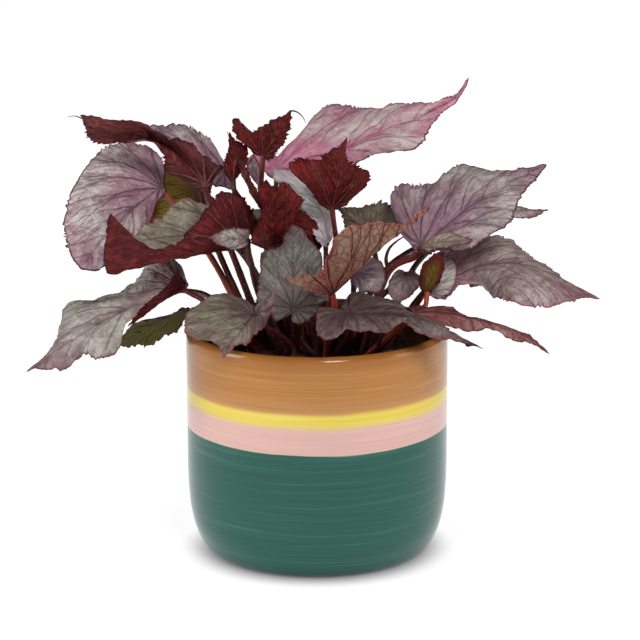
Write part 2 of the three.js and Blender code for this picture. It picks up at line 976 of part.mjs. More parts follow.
// A turned shape about +Z from a profile of (radius, height).
function turned(profile, sides) {
  const lathe = new THREE.LatheGeometry(profile, sides);
  lathe.rotateX(Math.PI / 2);
  return lathe;
}

// ---- assembly ----
function part(name, geometry, colour, roughness) {
  const material = new THREE.MeshStandardMaterial({ color: colour, roughness, metalness: 0 });
  const mesh = new THREE.Mesh(geometry, material);
  mesh.name = name;
  return mesh;
}

const plant = new THREE.Group();
plant.add(part("pot", turned(potProfile(), POT.sides), COLOURS.pot, ROUGHNESS.glaze));

const rootstock = armSolid(0);
const soil = solidOf(turned(soilProfile(), POT.sides)).subtract(armSolid(CLEARANCE));
plant.add(part("soil", geometryOf(soil), COLOURS.soil, ROUGHNESS.soil));

const blades = { ...SEEN_BLADES };
for (const [name, spec] of Object.entries(HIDDEN_BLADES)) blades[name] = hiddenBlade(spec);

const stalks = [];
Object.entries(blades).forEach(([name, spec], order) => {
  const phase = order * PHASE_STEP;
  const blade = bladeGeometry(spec, phase, 0);
  const room = solidOf(bladeGeometry(spec, phase, TRIM_CLEARANCE));
  plant.add(part("leaf_" + name, blade, COLOURS[spec.colour], ROUGHNESS.blade));
  stalks.push(stalkSolid(spec, room));
});
const crown = wasm.Manifold.union([rootstock, ...stalks]);
plant.add(part("rootstock_and_stalks", geometryOf(crown), COLOURS.stalk, ROUGHNESS.stalk));

export default plant;
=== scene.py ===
"""Potted begonia: leaf blades with veins and toothed edges, hairy stalks on a creeping rootstock,
potting soil and a hand-painted glazed pot. Landmarks are in pixels of the photograph and in
millimetres of depth, the shapes are worked out in millimetres, and the settings, lamps and
materials are in metres."""
import math

import bpy
import numpy as np
from bpy.props import FloatProperty, FloatVectorProperty, IntProperty, PointerProperty
from mathutils import Matrix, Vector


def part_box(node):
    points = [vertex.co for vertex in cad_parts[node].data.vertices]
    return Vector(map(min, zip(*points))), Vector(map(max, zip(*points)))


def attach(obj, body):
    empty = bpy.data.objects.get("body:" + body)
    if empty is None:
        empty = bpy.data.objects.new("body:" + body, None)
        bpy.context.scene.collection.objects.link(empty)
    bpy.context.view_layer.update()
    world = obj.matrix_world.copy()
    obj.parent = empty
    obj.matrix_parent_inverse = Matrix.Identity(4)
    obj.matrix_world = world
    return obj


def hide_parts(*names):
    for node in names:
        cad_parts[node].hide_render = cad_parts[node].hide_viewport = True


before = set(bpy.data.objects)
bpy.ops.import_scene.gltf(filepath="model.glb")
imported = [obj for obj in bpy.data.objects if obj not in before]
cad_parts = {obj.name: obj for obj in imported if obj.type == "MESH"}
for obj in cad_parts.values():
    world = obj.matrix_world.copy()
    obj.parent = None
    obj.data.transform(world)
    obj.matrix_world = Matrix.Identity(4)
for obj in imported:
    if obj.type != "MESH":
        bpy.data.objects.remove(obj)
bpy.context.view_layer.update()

bl_info = {
    "name": "Potted Begonia",
    "version": (1, 0, 0),
    "blender": (4, 5, 0),
    "location": "View3D > Sidebar > Begonia",
    "description": "Builds a begonia with silver-pink leaves in a banded glazed pot",
    "category": "Add Mesh",
}

MM = 0.001
POT_HIGH = np.array(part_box("pot")[1])
SOIL_LOW, SOIL_HIGH = (np.array(corner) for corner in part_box("soil"))
POT_RADIUS = float(POT_HIGH[0] / MM)
POT_HEIGHT = float(POT_HIGH[2] / MM)


# ---- the photograph's point of view: a landmark is (pixel across, pixel down, depth in mm) ----
VIEW_DISTANCE = 1500.0  # mm
VIEW_ELEVATION = math.radians(13.44)
VIEW_ROLL = math.radians(-0.255)
VIEW_FOCAL = 2628.2  # pixels
VIEW_MIDDLE = 320.0  # pixel in the middle of the photograph, across and down
VIEW_AIM = np.array([1.9, 0.0, 134.3])  # mm

FORWARD = np.array([0.0, math.cos(VIEW_ELEVATION), -math.sin(VIEW_ELEVATION)])
EYE = VIEW_AIM - VIEW_DISTANCE * FORWARD
LEVEL_UP = np.array([0.0, math.sin(VIEW_ELEVATION), math.cos(VIEW_ELEVATION)])
LEVEL_RIGHT = np.array([1.0, 0.0, 0.0])
ACROSS = LEVEL_RIGHT * math.cos(VIEW_ROLL) + LEVEL_UP * math.sin(VIEW_ROLL)
UPWARD = LEVEL_UP * math.cos(VIEW_ROLL) - LEVEL_RIGHT * math.sin(VIEW_ROLL)


def sight_line(pixel):
    """The direction in which the photograph sees a pixel."""
    right = (pixel[0] - VIEW_MIDDLE) / VIEW_FOCAL
    up = (VIEW_MIDDLE - pixel[1]) / VIEW_FOCAL
    return FORWARD + right * ACROSS + up * UPWARD


def seen(mark):
    """The point in mm that the photograph shows at a landmark."""
    ray = sight_line(mark)
    return EYE + ray * (mark[2] - EYE[1]) / ray[1]


def seen_on_plane(pixel, point, normal):
    """The point of a plane that the photograph shows at a pixel."""
    ray = sight_line(pixel)
    return EYE + ray * np.dot(point - EYE, normal) / np.dot(ray, normal)


# ---- the blades, with the landmarks of the CAD source ----
# Each half is (depth of its widest landmark, landmarks from the notch to the tip). finish names the
# colours, top is 1 where the viewer sees the upper face, midrib is a list of landmarks of a curved
# midrib, and via is a landmark of the stalk. Where turned is set, the other face is the upper one.
SEEN_BLADES = {
    "left_round": dict(
        finish="pink", top=1, centre=(161, 187, 24), tip=(80, 269, -26), arch=5, via=(214, 262, 14),
        halves=(
            (34, [(165, 178), (160, 157), (145, 144), (120, 144), (93, 158), (75, 185), (65, 215),
                  (66, 243), (73, 262)]),
            (-10, [(166, 191), (157, 204), (150, 220), (144, 238), (128, 256), (100, 270)]),
        ),
    ),
    "left_folded": dict(
        finish="wine", top=-1, centre=(244, 249, -20), tip=(107, 275, -50), arch=-2, via=(256, 280, -12),
        turned=True,
        halves=(
            (-34, [(247, 232), (246, 215), (241, 199), (220, 188), (203, 214), (184, 236), (154, 243),
                   (124, 230), (110, 214), (103, 256)]),
            (-10, [(238, 222), (210, 203), (185, 200), (160, 212), (130, 242)]),
        ),
    ),
    "left_small_silver": dict(
        finish="ash", top=1, centre=(248, 240, -33), tip=(207, 238, -50), arch=1, small=True,
        via=(256, 286, -24),
        halves=(
            (-38, [(249, 231), (238, 228), (222, 230)]),
            (-46, [(247, 246), (231, 250), (216, 244)]),
        ),
    ),
    "upper_left_red": dict(
        finish="claret", top=-1, centre=(205, 187, 11), tip=(79, 118, -8), arch=2, via=(227, 240, 14),
        midrib=[(187, 168, 8), (166, 151, 4), (142, 137, 1), (112, 131, -3)],
        halves=(
            (-12, [(214, 180), (223, 167), (200, 154), (176, 139), (151, 131), (124, 123), (98, 119)]),
            (16, [(208, 197), (199, 192), (182, 182), (168, 171), (160, 156), (145, 143), (123, 143),
                  (107, 148), (91, 143), (84, 127)]),
        ),
    ),
    "upper_left_pink": dict(
        finish="lilac", top=1, centre=(226, 172, 40), tip=(140, 131, 40), arch=3,
        halves=(
            (52, [(226, 163), (215, 148), (202, 133), (190, 127), (172, 125), (152, 127)]),
            (30, [(180, 170)]),
        ),
    ),
    "left_olive": dict(
        finish="olive", top=-1, centre=(200, 190, 34), tip=(151, 240, 40), arch=2, small=True,
        via=(214, 240, 18),
        halves=(
            (46, [(198, 205), (184, 210), (170, 224)]),
            (40, [(199, 180), (184, 168), (166, 163), (154, 178), (150, 204), (147, 226)]),
        ),
    ),
    "left_long": dict(
        finish="ash", top=1, centre=(181, 288, -8), tip=(27, 373, -44), arch=5, via=(204, 301, -6),
        halves=(
            (12, [(186, 279), (180, 265), (165, 259), (148, 262), (137, 278), (126, 295), (108, 298),
                  (86, 303), (68, 302), (60, 332), (48, 351)]),
            (-46, [(182, 294), (159, 303), (134, 321), (121, 334), (119, 348), (108, 357), (96, 362),
                   (86, 357), (65, 368), (46, 371)]),
        ),
    ),
    "left_low_green": dict(
        finish="fresh", top=-1, centre=(188, 311, 18), tip=(120, 346, 14), arch=2, small=True,
        via=(206, 311, 16),
        halves=(
            (0, [(188, 308), (175, 312), (161, 321), (140, 322), (125, 333)]),
            (30, [(186, 320), (173, 334), (155, 343), (142, 347), (129, 348)]),
        ),
    ),
    "front_left": dict(
        finish="sage", top=1, centre=(253, 317, -52), tip=(224, 356, -98), arch=5, via=(290, 346, -26),
        halves=(
            (-68, [(254, 308), (241, 297), (227, 295), (213, 297), (200, 302), (186, 315), (186, 331),
                   (200, 343), (213, 345)]),
            (-50, [(257, 304, -50), (274, 293, -46), (272, 309, -48), (265, 325), (255, 336),
                   (244, 345), (234, 349)]),
        ),
    ),
    "centre_green": dict(
        finish="green", top=1, centre=(293, 309, -42), tip=(292, 224, -24), arch=4, via=(300, 340, -16),
        halves=(
            (-37, [(286, 317), (275, 321), (270, 312), (257, 304), (257, 288), (260, 270), (262, 252),
                   (280, 247), (284, 236)]),
            (-32, [(291, 321), (298, 324), (310, 319), (320, 308), (325, 293), (322, 277), (321, 253),
                   (309, 239), (301, 229)]),
        ),
    ),
    "centre_tan": dict(
        finish="tan", top=-1, centre=(332, 295, -54), tip=(432, 208, -64), arch=-3, via=(330, 318, -34),
        midrib=[(375, 247, -62)],
        halves=(
            (-76, [(324, 291), (303, 286), (284, 279), (300, 273), (321, 277), (329, 248), (336, 235),
                   (347, 229), (367, 227), (384, 223), (405, 222), (420, 213)]),
            (-42, [(375, 238)]),
        ),
    ),
    "right_upper": dict(
        finish="silver", top=1, centre=(421, 249, -20), tip=(547, 165, -14), arch=5,
        via=(391, 268, -14),
        halves=(
            (12, [(413, 248), (404, 238), (397, 222), (391, 203), (397, 188), (422, 185), (442, 175),
                  (462, 167), (491, 170), (528, 170)]),
            (-46, [(427, 253), (439, 252), (453, 252), (468, 248), (483, 242), (497, 235), (507, 227),
                   (514, 213), (524, 199), (538, 176)]),
        ),
    ),
    "right_rolled_red": dict(
        finish="moss", top=-1, centre=(374, 240, 16), tip=(337, 207, 14), arch=3, via=(379, 288, 16),
        halves=(
            (18, [(384, 242), (396, 232), (397, 214), (388, 204), (370, 204), (355, 209)]),
            (24, [(350, 236)]),
        ),
    ),
    "right_middle": dict(
        finish="haze", top=1, centre=(428, 288, -6), tip=(600, 299, -26), arch=6, via=(411, 312, 4),
        midrib=[(511, 272, -6)],
        halves=(
            (26, [(428, 279), (438, 264), (460, 246), (480, 236), (500, 238), (521, 248), (547, 267),
                  (575, 290)]),
            (-40, [(429, 296), (439, 299), (450, 294), (457, 289), (472, 286), (484, 288), (496, 298),
                   (513, 305), (535, 306), (560, 304), (585, 301)]),
        ),
    ),
    "right_back": dict(
        finish="ash", top=1, centre=(452, 226, 44), tip=(549, 212, 40), arch=4,
        halves=((58, [(492, 200)]), (38, [(494, 228)])),
    ),
    "right_small_red": dict(
        finish="olive", top=-1, centre=(427, 292, -30), tip=(441, 252, -38), arch=-2, small=True,
        via=(412, 312, -6),
        halves=(
            (-36, [(420, 288), (419, 276), (424, 263), (433, 256)]),
            (-34, [(435, 288), (442, 277), (445, 262)]),
        ),
    ),
    "right_low_narrow": dict(
        finish="blush", top=1, centre=(414, 311, -46), tip=(550, 353, -54), arch=3, via=(396, 330, -18),
        midrib=[(440, 315, -46), (466, 321, -46), (494, 328.5, -47), (520, 337, -50)],
        halves=(
            (-38, [(420, 305), (436, 308), (447, 308), (462, 313), (477, 324), (494, 325), (519, 333),
                   (536, 342)]),
            (-50, [(416, 319), (433, 324), (447, 329), (469, 331), (491, 332), (513, 339), (538, 349)]),
        ),
    ),
    "front_right": dict(
        finish="dusk", top=1, centre=(346, 314, -62), tip=(483, 350, -84), arch=4,
        via=(348, 336, -30), midrib=[(414, 325, -68)],
        halves=(
            (-34, [(341, 306), (355, 294), (367, 293), (381, 297), (396, 304), (409, 313), (424, 320),
                   (441, 329), (465, 342)]),
            (-92, [(334, 309), (319, 312), (316, 322), (320, 336), (332, 342), (347, 332), (374, 330),
                   (389, 332), (400, 326), (418, 334), (447, 339), (464, 346)]),
        ),
    ),
    "middle_purple": dict(
        finish="silver", top=1, centre=(354, 272, -16), tip=(381, 294, -28), arch=2, small=True,
        via=(352, 312, -8),
        halves=(
            (-10, [(357, 264), (369, 258), (381, 262), (386, 277)]),
            (-22, [(350, 279), (357, 290), (369, 294)]),
        ),
    ),
    "right_inner": dict(
        finish="haze", top=1, centre=(406, 274, 10), tip=(397, 305, -2), arch=2, small=True,
        halves=(
            (8, [(413, 270), (421, 281), (414, 293)]),
            (6, [(400, 269), (389, 281), (389, 295)]),
        ),
    ),
    "centre_red": dict(
        finish="red", top=-1, centre=(272, 247, -8), tip=(266, 179, -34), arch=-4, via=(280, 300, -4),
        halves=(
            (-30, [(284, 243), (288, 228), (296, 218), (304, 201), (296, 192), (286, 185), (280, 191),
                   (272, 186)]),
            (-28, [(264, 246, -16), (250, 243, -42), (252, 236, -42), (259, 224), (262, 207),
                   (260, 193)]),
        ),
    ),
    "centre_diagonal": dict(
        finish="mint_painted_light", top=1, centre=(326, 243, -4), tip=(271, 170, 8), arch=2, small=True,
        via=(326, 290, 2), midrib=[(324, 222, -2), (314, 203, 1), (298, 187, 4)],
        halves=(
            (-14, [(318, 244), (312, 227), (302, 209), (288, 190), (275, 180)]),
            (18, [(333, 232), (331, 208), (310, 187), (290, 171)]),
        ),
    ),
    "top_pink": dict(
        finish="rose", top=1, centre=(276, 170, 38), tip=(469, 79, 30), arch=6, via=(272, 250, 24),
        midrib=[(345, 154, 30), (430, 119, 31), (455, 102, 31)],
        halves=(
            (62, [(264, 171), (248, 168), (255, 153), (275, 155), (290, 144), (307, 129), (319, 112),
                  (330, 104), (345, 104), (365, 109), (380, 110), (393, 105), (412, 102), (430, 102),
                  (447, 99), (458, 95)]),
            (16, [(280, 182), (300, 186), (328, 176), (353, 166), (372, 158), (401, 151), (418, 147),
                  (430, 133), (439, 119), (451, 106), (461, 94)]),
        ),
    ),
    "top_red": dict(
        finish="red", top=-1, centre=(332, 209, -14), tip=(347, 136, -32), arch=-4, via=(336, 250, -2),
        halves=(
            (-28, [(321, 205), (306, 186), (289, 165), (306, 160), (322, 157), (337, 150)]),
            (-18, [(340, 208), (356, 196), (371, 178), (360, 168), (348, 160)]),
        ),
    ),
    "top_small_red": dict(
        finish="red", top=-1, centre=(263, 155, -14), tip=(291, 111, -30), arch=-2, small=True,
        via=(262, 200, -4),
        halves=(
            (-26, [(254, 153), (246, 146), (237, 138), (232, 127), (237, 119), (243, 127), (250, 133),
                   (259, 127), (268, 124), (278, 119)]),
            (-18, [(268, 161), (279, 150), (287, 138), (291, 127)]),
        ),
    ),
    "top_left_small_red": dict(
        finish="red", top=-1, centre=(233, 181, -8), tip=(229, 133, -18), arch=-1, small=True,
        via=(240, 230, 0), midrib=[(235, 166, -12), (236, 154, -14)],
        halves=(
            (-12, [(226, 176), (224, 164), (228, 150)]),
            (-12, [(240, 174), (248, 160), (247, 148), (237, 142)]),
        ),
    ),
}

# Blades on the far side of the plant, in a plain outline: finish, centre, tip and the widest
# landmark of each half.
HIDDEN_ARCH = 5
HIDDEN_BLADES = {
    "back_left": ("pink", (192, 214, 56), (112, 180, 118), (150, 168, 104), (132, 232, 72)),
    "back_middle": ("silver", (292, 236, 52), (297, 196, 138), (246, 216, 84), (326, 204, 96)),
    "back_right": ("pink", (432, 236, 60), (496, 200, 132), (424, 200, 112), (492, 236, 84)),
    "low_back_left": ("green", (160, 287, 60), (104, 308, 116), (138, 280, 100), (134, 308, 74)),
    "low_back_middle": ("silver", (292, 298, 64), (290, 266, 140), (262, 279, 98), (323, 277, 100)),
    "low_back_right": ("green", (470, 270, 60), (536, 268, 122), (480, 250, 104), (514, 285, 84)),
}

# Rolled lobes and young leaves too small for the CAD model, in the same landmarks.
SMALL_BLADES = {
    "left_long_roll": dict(
        finish="wine", top=-1, centre=(183, 287, -17), tip=(128, 327, -42), arch=1, small=True,
        halves=(
            (-24, [(182, 277), (177, 270), (167, 286), (151, 300), (138, 313)]),
            (-34, [(184, 291), (165, 300), (147, 314)]),
        ),
    ),
    "right_upper_curl": dict(
        finish="pale", top=1, centre=(421, 248, -24), tip=(474, 241, -45), arch=2, small=True,
        halves=(
            (-34, [(424, 243), (432, 237), (445, 233), (460, 236)]),
            (-38, [(430, 251), (442, 249), (458, 247)]),
        ),
    ),
    "right_pale_lobe": dict(
        finish="ash", top=1, centre=(430, 293, -25), tip=(449, 255, -17), arch=2, small=True,
        halves=(
            (-20, [(429, 281), (434, 268), (441, 258)]),
            (-24, [(437, 299), (449, 294), (456, 282), (457, 268), (454, 259)]),
        ),
    ),
    "crinkled_dark": dict(
        finish="red", top=-1, centre=(318, 250, -2), tip=(291, 205, -12), arch=-2, small=True,
        halves=(
            (-8, [(307, 251), (300, 236), (291, 222)]),
            (-2, [(324, 243), (320, 228), (308, 214)]),
        ),
    ),
    "young_left": dict(
        finish="red", top=-1, centre=(251, 232, -8), tip=(237, 193, -12), arch=-1, small=True,
        halves=(
            (-14, [(243, 230), (238, 216), (233, 203)]),
            (-8, [(257, 228), (254, 212), (245, 198)]),
        ),
    ),
    "diagonal_bract": dict(
        finish="blush", top=-1, centre=(262, 209, -12), tip=(236, 153, -14), arch=1, small=True,
        halves=(
            (-14, [(256, 203), (246, 183), (238, 164)]),
            (-12, [(261, 200), (252, 180), (243, 161)]),
        ),
    ),
    "pink_fold": dict(
        finish="rose", top=1, centre=(259, 186, 22), tip=(254, 154, 24), arch=1, small=True,
        halves=(
            (22, [(252, 178), (246, 168), (250, 160)]),
            (22, [(261, 180), (260, 168), (257, 160)]),
        ),
    ),
}

# Threads that end some blades, as landmarks from the blade outwards, and their radius at the blade.
THREADS = {
    "thread_upper_left": ([(86, 121, -8), (81, 118, -8), (74, 116, -9), (67, 117, -10)], 0.5),
    "thread_top_small": (
        [(286, 116, -28), (291, 111, -30), (297, 112, -31), (302, 116, -32), (306, 123, -32)], 0.7,
    ),
    "thread_spike": ([(242, 166, -14), (238, 157, -15), (232, 145, -16), (227, 131, -17)], 0.8),
    "thread_hairy_branch": ([(389, 270, -14), (386, 260, -12), (389, 249, -10), (397, 241, -8),
                             (405, 236, -6)], 1.5),
    "thread_top_pink": ([(461, 92, 29), (466, 86, 30), (469, 77, 30)], 0.5),
}

# A plain half, from the notch to the tip: shares of the midrib along it, and of the half's width.
HALF_OUTLINE = (
    (-0.14, 0.34), (-0.16, 0.74), (0.06, 0.99), (0.34, 0.93), (0.6, 0.62), (0.82, 0.27), (0.93, 0.09),
)
SINUS = -0.05  # the notch behind the stalk, as a share of the midrib


def all_blades():
    """Every blade's values by name, the seen ones first, in the CAD source's order."""
    blades = dict(SEEN_BLADES)
    for name, (finish, centre, tip, *wide) in HIDDEN_BLADES.items():
        halves = tuple((mark[2], [mark[:2]]) for mark in wide)
        blades[name] = dict(finish=finish, top=1, centre=centre, tip=tip, arch=HIDDEN_ARCH, halves=halves)
    return blades


# ---- curves and meshes ----
TINY = 1e-12
CURVE_STEPS = 24  # points on each piece of a curve, before they are spaced evenly
SHARP_ANGLE = 50.0  # degrees from which an edge is shown sharp
STEEP = 0.8  # sine of the slope from which a tube's rings start from the x axis, not the z axis
UV_PER_MM = 0.01  # scale of the UV values that are lengths


def unit(vector):
    """The vector at a length of 1."""
    return vector / max(np.linalg.norm(vector), TINY)


def lengths(points):
    """How far along a path each of its points lies."""
    return np.concatenate([[0], np.cumsum(np.linalg.norm(np.diff(points, axis=0), axis=1))])


def points_at(points, places, marks):
    """Points at the given places along a path whose own points lie at the marks."""
    return np.stack([np.interp(places, marks, points[:, k]) for k in range(3)], axis=1)


def smooth_curve(points, count):
    """count + 1 points spaced evenly along a centripetal Catmull-Rom curve."""
    p = np.array(points, float)
    p = np.vstack([2 * p[0] - p[1], p, 2 * p[-1] - p[-2]])
    t = np.linspace(0, 1, CURVE_STEPS, endpoint=False)[:, None]
    pieces = []
    for p0, p1, p2, p3 in zip(p[:-3], p[1:-2], p[2:-1], p[3:]):
        d0, d1, d2 = (max(np.linalg.norm(b - a) ** 0.5, 1e-4) for a, b in ((p0, p1), (p1, p2), (p2, p3)))
        m1 = ((p1 - p0) / d0 - (p2 - p0) / (d0 + d1) + (p2 - p1) / d1) * d1
        m2 = ((p2 - p1) / d1 - (p3 - p1) / (d1 + d2) + (p3 - p2) / d2) * d1
        pieces.append(
            p1 + m1 * t + (-3 * p1 + 3 * p2 - 2 * m1 - m2) * t**2 + (2 * p1 - 2 * p2 + m1 + m2) * t**3
        )
    dense = np.vstack(pieces + [p[-2:-1]])
    reach = lengths(dense)
    return points_at(dense, np.linspace(0, reach[-1], count + 1), reach)


def ring_angles(sides):
    return np.linspace(0, 2 * math.pi, sides, endpoint=False)


def vertex_normals(points, faces):
    """Normals of a sheet of triangles and quads, as a smooth shade would have them."""
    normals = np.zeros_like(points)
    for a, b, c in ((0, 1, 2), (0, 2, 3)):
        tri = np.array([[face[a], face[b], face[min(c, len(face) - 1)]] for face in faces])
        turn = np.cross(points[tri[:, 1]] - points[tri[:, 0]], points[tri[:, 2]] - points[tri[:, 0]])
        for k in range(3):
            np.add.at(normals, tri[:, k], turn)
    return normals / np.maximum(np.linalg.norm(normals, axis=1, keepdims=True), TINY)


def placed(name, data):
    """A new object in the scene."""
    thing = bpy.data.objects.new(name, data)
    bpy.context.scene.collection.objects.link(thing)
    return thing


def make_piece(name, points, faces, materials, slots=None, maps=None, sharp=SHARP_ANGLE):
    """A mesh object from points in mm. maps gives each UV map's values by point."""
    mesh = bpy.data.meshes.new(name)
    mesh.from_pydata((np.asarray(points) * MM).tolist(), [], faces)
    corners = np.zeros(len(mesh.loops), int)
    mesh.loops.foreach_get("vertex_index", corners)
    for label, values in (maps or {}).items():
        layer = mesh.uv_layers.new(name=label)
        layer.data.foreach_set("uv", np.asarray(values, np.float32)[corners].ravel())
    for material in materials:
        mesh.materials.append(material)
    if slots is not None:
        mesh.polygons.foreach_set("material_index", slots)
    mesh.shade_smooth()
    mesh.set_sharp_from_angle(angle=math.radians(sharp))
    mesh.update()
    return placed(name, mesh)


def settle(piece, slot, *nodes):
    """Every finished piece rides on the one body, and the CAD parts it stands for are hidden. slot is not
    used.
    """
    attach(piece, "root")
    if nodes:
        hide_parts(*nodes)


def ring_faces(rows, sides):
    """Faces of a closed shape of rings. The middle points of its two ends come after the rings."""
    faces = []
    last = (rows - 1) * sides
    for i in range(sides):
        j = (i + 1) % sides
        for k in range(rows - 1):
            faces.append((k * sides + i, k * sides + j, (k + 1) * sides + j, (k + 1) * sides + i))
        faces.append((rows * sides, j, i))
        faces.append((rows * sides + 1, last + i, last + j))
    return faces


def tube(path, radii, sides):
    """Points in mm, faces and UV values, along and round, of a closed tube along a path."""
    path = np.asarray(path, float)
    along = np.gradient(path, axis=0)
    along /= np.linalg.norm(along, axis=1, keepdims=True)
    start = np.array([0.0, 0.0, 1.0]) if abs(along[0][2]) < STEEP else np.array([1.0, 0.0, 0.0])
    side = unit(np.cross(start, along[0]))
    angles = ring_angles(sides)
    reach = lengths(path) * UV_PER_MM
    points, values = [], []
    for middle, direction, radius, far in zip(path, along, radii, reach):
        side = unit(side - np.dot(side, direction) * direction)
        other = np.cross(direction, side)
        points.append(middle + radius * (np.cos(angles)[:, None] * side + np.sin(angles)[:, None] * other))
        values.append(np.stack([np.full(sides, far), angles / (2 * math.pi)], axis=1))
    points = np.vstack(points + [path[:1], path[-1:]])
    values = np.vstack(values + [[[0, 0]], [[reach[-1], 0]]])
    return points, ring_faces(len(path), sides), values


def joined(parts):
    """One set of points, faces and values from several."""
    points, faces, values, start = [], [], [], 0
    for part_points, part_faces, part_values in parts:
        points.append(part_points)
        values.append(part_values)
        faces += [tuple(start + k for k in face) for face in part_faces]
        start += len(part_points)
    return np.vstack(points), faces, np.vstack(values)


def skin_of(name, pieces):
    """One mesh of the last faces of each piece, as many as pieces gives with it."""
    corners, faces = [], []
    for piece, count in pieces:
        for face in piece.data.polygons[-count:]:
            faces.append(list(range(len(corners), len(corners) + len(face.vertices))))
            corners += [piece.data.vertices[k].co[:] for k in face.vertices]
    skin = bpy.data.meshes.new(name)
    skin.from_pydata(corners, [], faces)
    return skin


# ---- blades ----
EDGE_SPACING = 0.65  # mm between the points of the edge
MIDRIB_STEPS = 60
RING_SHARES = np.array(
    [0, 0.03, 0.08, 0.14, 0.21, 0.28, 0.36, 0.44, 0.52, 0.6, 0.68, 0.76, 0.83, 0.89, 0.94, 0.975, 1]
)
MIDRIB_SHARE = 0.93  # how far along the midrib the last pair of side rows starts
FULL_BOW_WIDTH = 40.0  # a half this wide bows by the whole of its arch
WAVE = {False: 1.6, True: 0.8}  # depth of the edge's waves on a large and a small blade
WAVE_COUNT = 7
PHASE_STEP = 1.7  # shift of the waves from one blade to the next
FAN_SHARE = {False: 0.3, True: 1 / 3}  # share of a half's edge that fans out from the stalk
CAD_EDGE_POINTS = {False: 40, True: 24}  # every second one is a broad tooth
TIP_TAPER = 4  # power by which the bow across a half fades towards the tip
TOOTH_WIDTH = 3.6  # mm, of a blunt tooth, and 1 mm less of a sharp one
TOOTH_HEIGHT = 1.7  # mm, of a blunt tooth, and half a mm more of a sharp one
TOOTH_RISE, TOOTH_FALL = 0.68, 0.32  # shares of a tooth before and after its point
TOOTH_ROOM = 14  # mm from either end of the midrib where blunt teeth are whole, and 8 less for sharp ones
# How sharp the teeth are and how deep the pleats, by the finish of the blade.
SHARPNESS = {"red": 1.0, "claret": 0.8, "wine": 0.5, "silver": 0.35, "moss": 0.5}
PLEATING = {"haze": 0.45, "mint_painted_light": 0.4, "sage": 0.7, "rose": 0.8}
RAY_STEP = math.radians(26)  # angle between the veins that leave the stalk's end
SIDE_VEIN_STEP = 0.17  # spacing of the side veins, as a share of the midrib
SIDE_VEIN_SLOPE = 1.3
SIDE_VEINS_FROM = 0.2  # share of the midrib where the side veins begin
PLEAT_WIDTH = 14  # mm between two veins where a pleat has its whole height
QUILT_WIDTH = 8  # mm between two veins where the small bulges have their whole height
EDGE_TAPER = 3.0  # mm over which the blade thins towards its edge
EDGE_THINNESS = 0.35  # thickness at the edge, as a share of the middle's


def half_edge(centre, tip, depth, edge):
    """Points of one half's edge from the notch to the tip, without either."""
    axis = tip - centre
    if len(edge) == 1:
        widest = seen((*edge[0], depth))
        side = widest - centre - axis * np.dot(widest - centre, axis) / np.dot(axis, axis)
        return [centre + axis * along + side * out for along, out in HALF_OUTLINE]
    midline = unit(axis - FORWARD * np.dot(axis, FORWARD))
    middle = (centre + tip) / 2
    flat = [seen((*mark[:2], depth)) for mark in edge]
    rest = [p - middle for p in flat]
    spread = [np.linalg.norm(np.cross(r - FORWARD * np.dot(r, FORWARD), midline)) for r in rest]
    normal = unit(np.cross(tip - centre, flat[int(np.argmax(spread))] - centre))
    return [seen(mark) if len(mark) > 2 else seen_on_plane(mark, centre, normal) for mark in edge]


def blade_frame(spec):
    """Centre, tip, edge points once round from the notch, the upper face's normal, and whether the
    edge runs clockwise as that face is seen."""
    centre, tip = seen(spec["centre"]), seen(spec["tip"])
    notch = centre + (tip - centre) * SINUS
    curves = [[notch, *half_edge(centre, tip, *half), tip] for half in spec["halves"]]
    length = max(lengths(curve)[-1] for curve in curves)
    half_count = int(round(length / EDGE_SPACING / 2)) * 2
    one, other = (smooth_curve(curve, half_count) for curve in curves)
    edge = np.vstack([one, other[::-1][1:-1]])
    normal = unit(np.sum(np.cross(edge - centre, np.roll(edge, -1, axis=0) - centre), axis=0))
    flipped = np.dot(normal, FORWARD) * spec["top"] > 0
    if flipped:
        normal = -normal
    return centre, tip, edge, normal, flipped


def ping_pong(values, top):
    """Rises and falls between 0 and top."""
    return np.abs((values + top) % (2 * top) - top)


def teeth(count, spacing, room, small, sharpness, rng):
    """How far each edge point stands past the outline: broad teeth with fine ones on them, which
    fade in some stretches of the edge."""
    place = np.arange(count) / count

    def wave(times):
        return np.sin(2 * np.pi * times * place + rng.uniform(0, 6))

    broad = np.cos(np.pi * CAD_EDGE_POINTS[small] * place)
    fine_count = max(8, int(round(count * spacing / (TOOTH_WIDTH - sharpness))))
    stray = 0.9 * wave(5) + 0.6 * wave(13)
    tooth_place = np.clip(place * fine_count + stray, 0, fine_count - 1e-6)
    saw = tooth_place % 1
    fine = np.where(saw < TOOTH_RISE, (saw / TOOTH_RISE) ** 1.6, ((1 - saw) / TOOTH_FALL) ** 1.2)
    strength = np.minimum(rng.gamma(1.4, 0.6, fine_count)[tooth_place.astype(int)], 2.0)
    height = TOOTH_HEIGHT + 0.5 * sharpness
    stretches = np.maximum(0.65 + 0.35 * wave(3), sharpness)
    fade = np.minimum(1, room / (TOOTH_ROOM - 8 * sharpness))
    return (0.15 * broad + height * stretches * strength * (fine - 0.5)) * fade


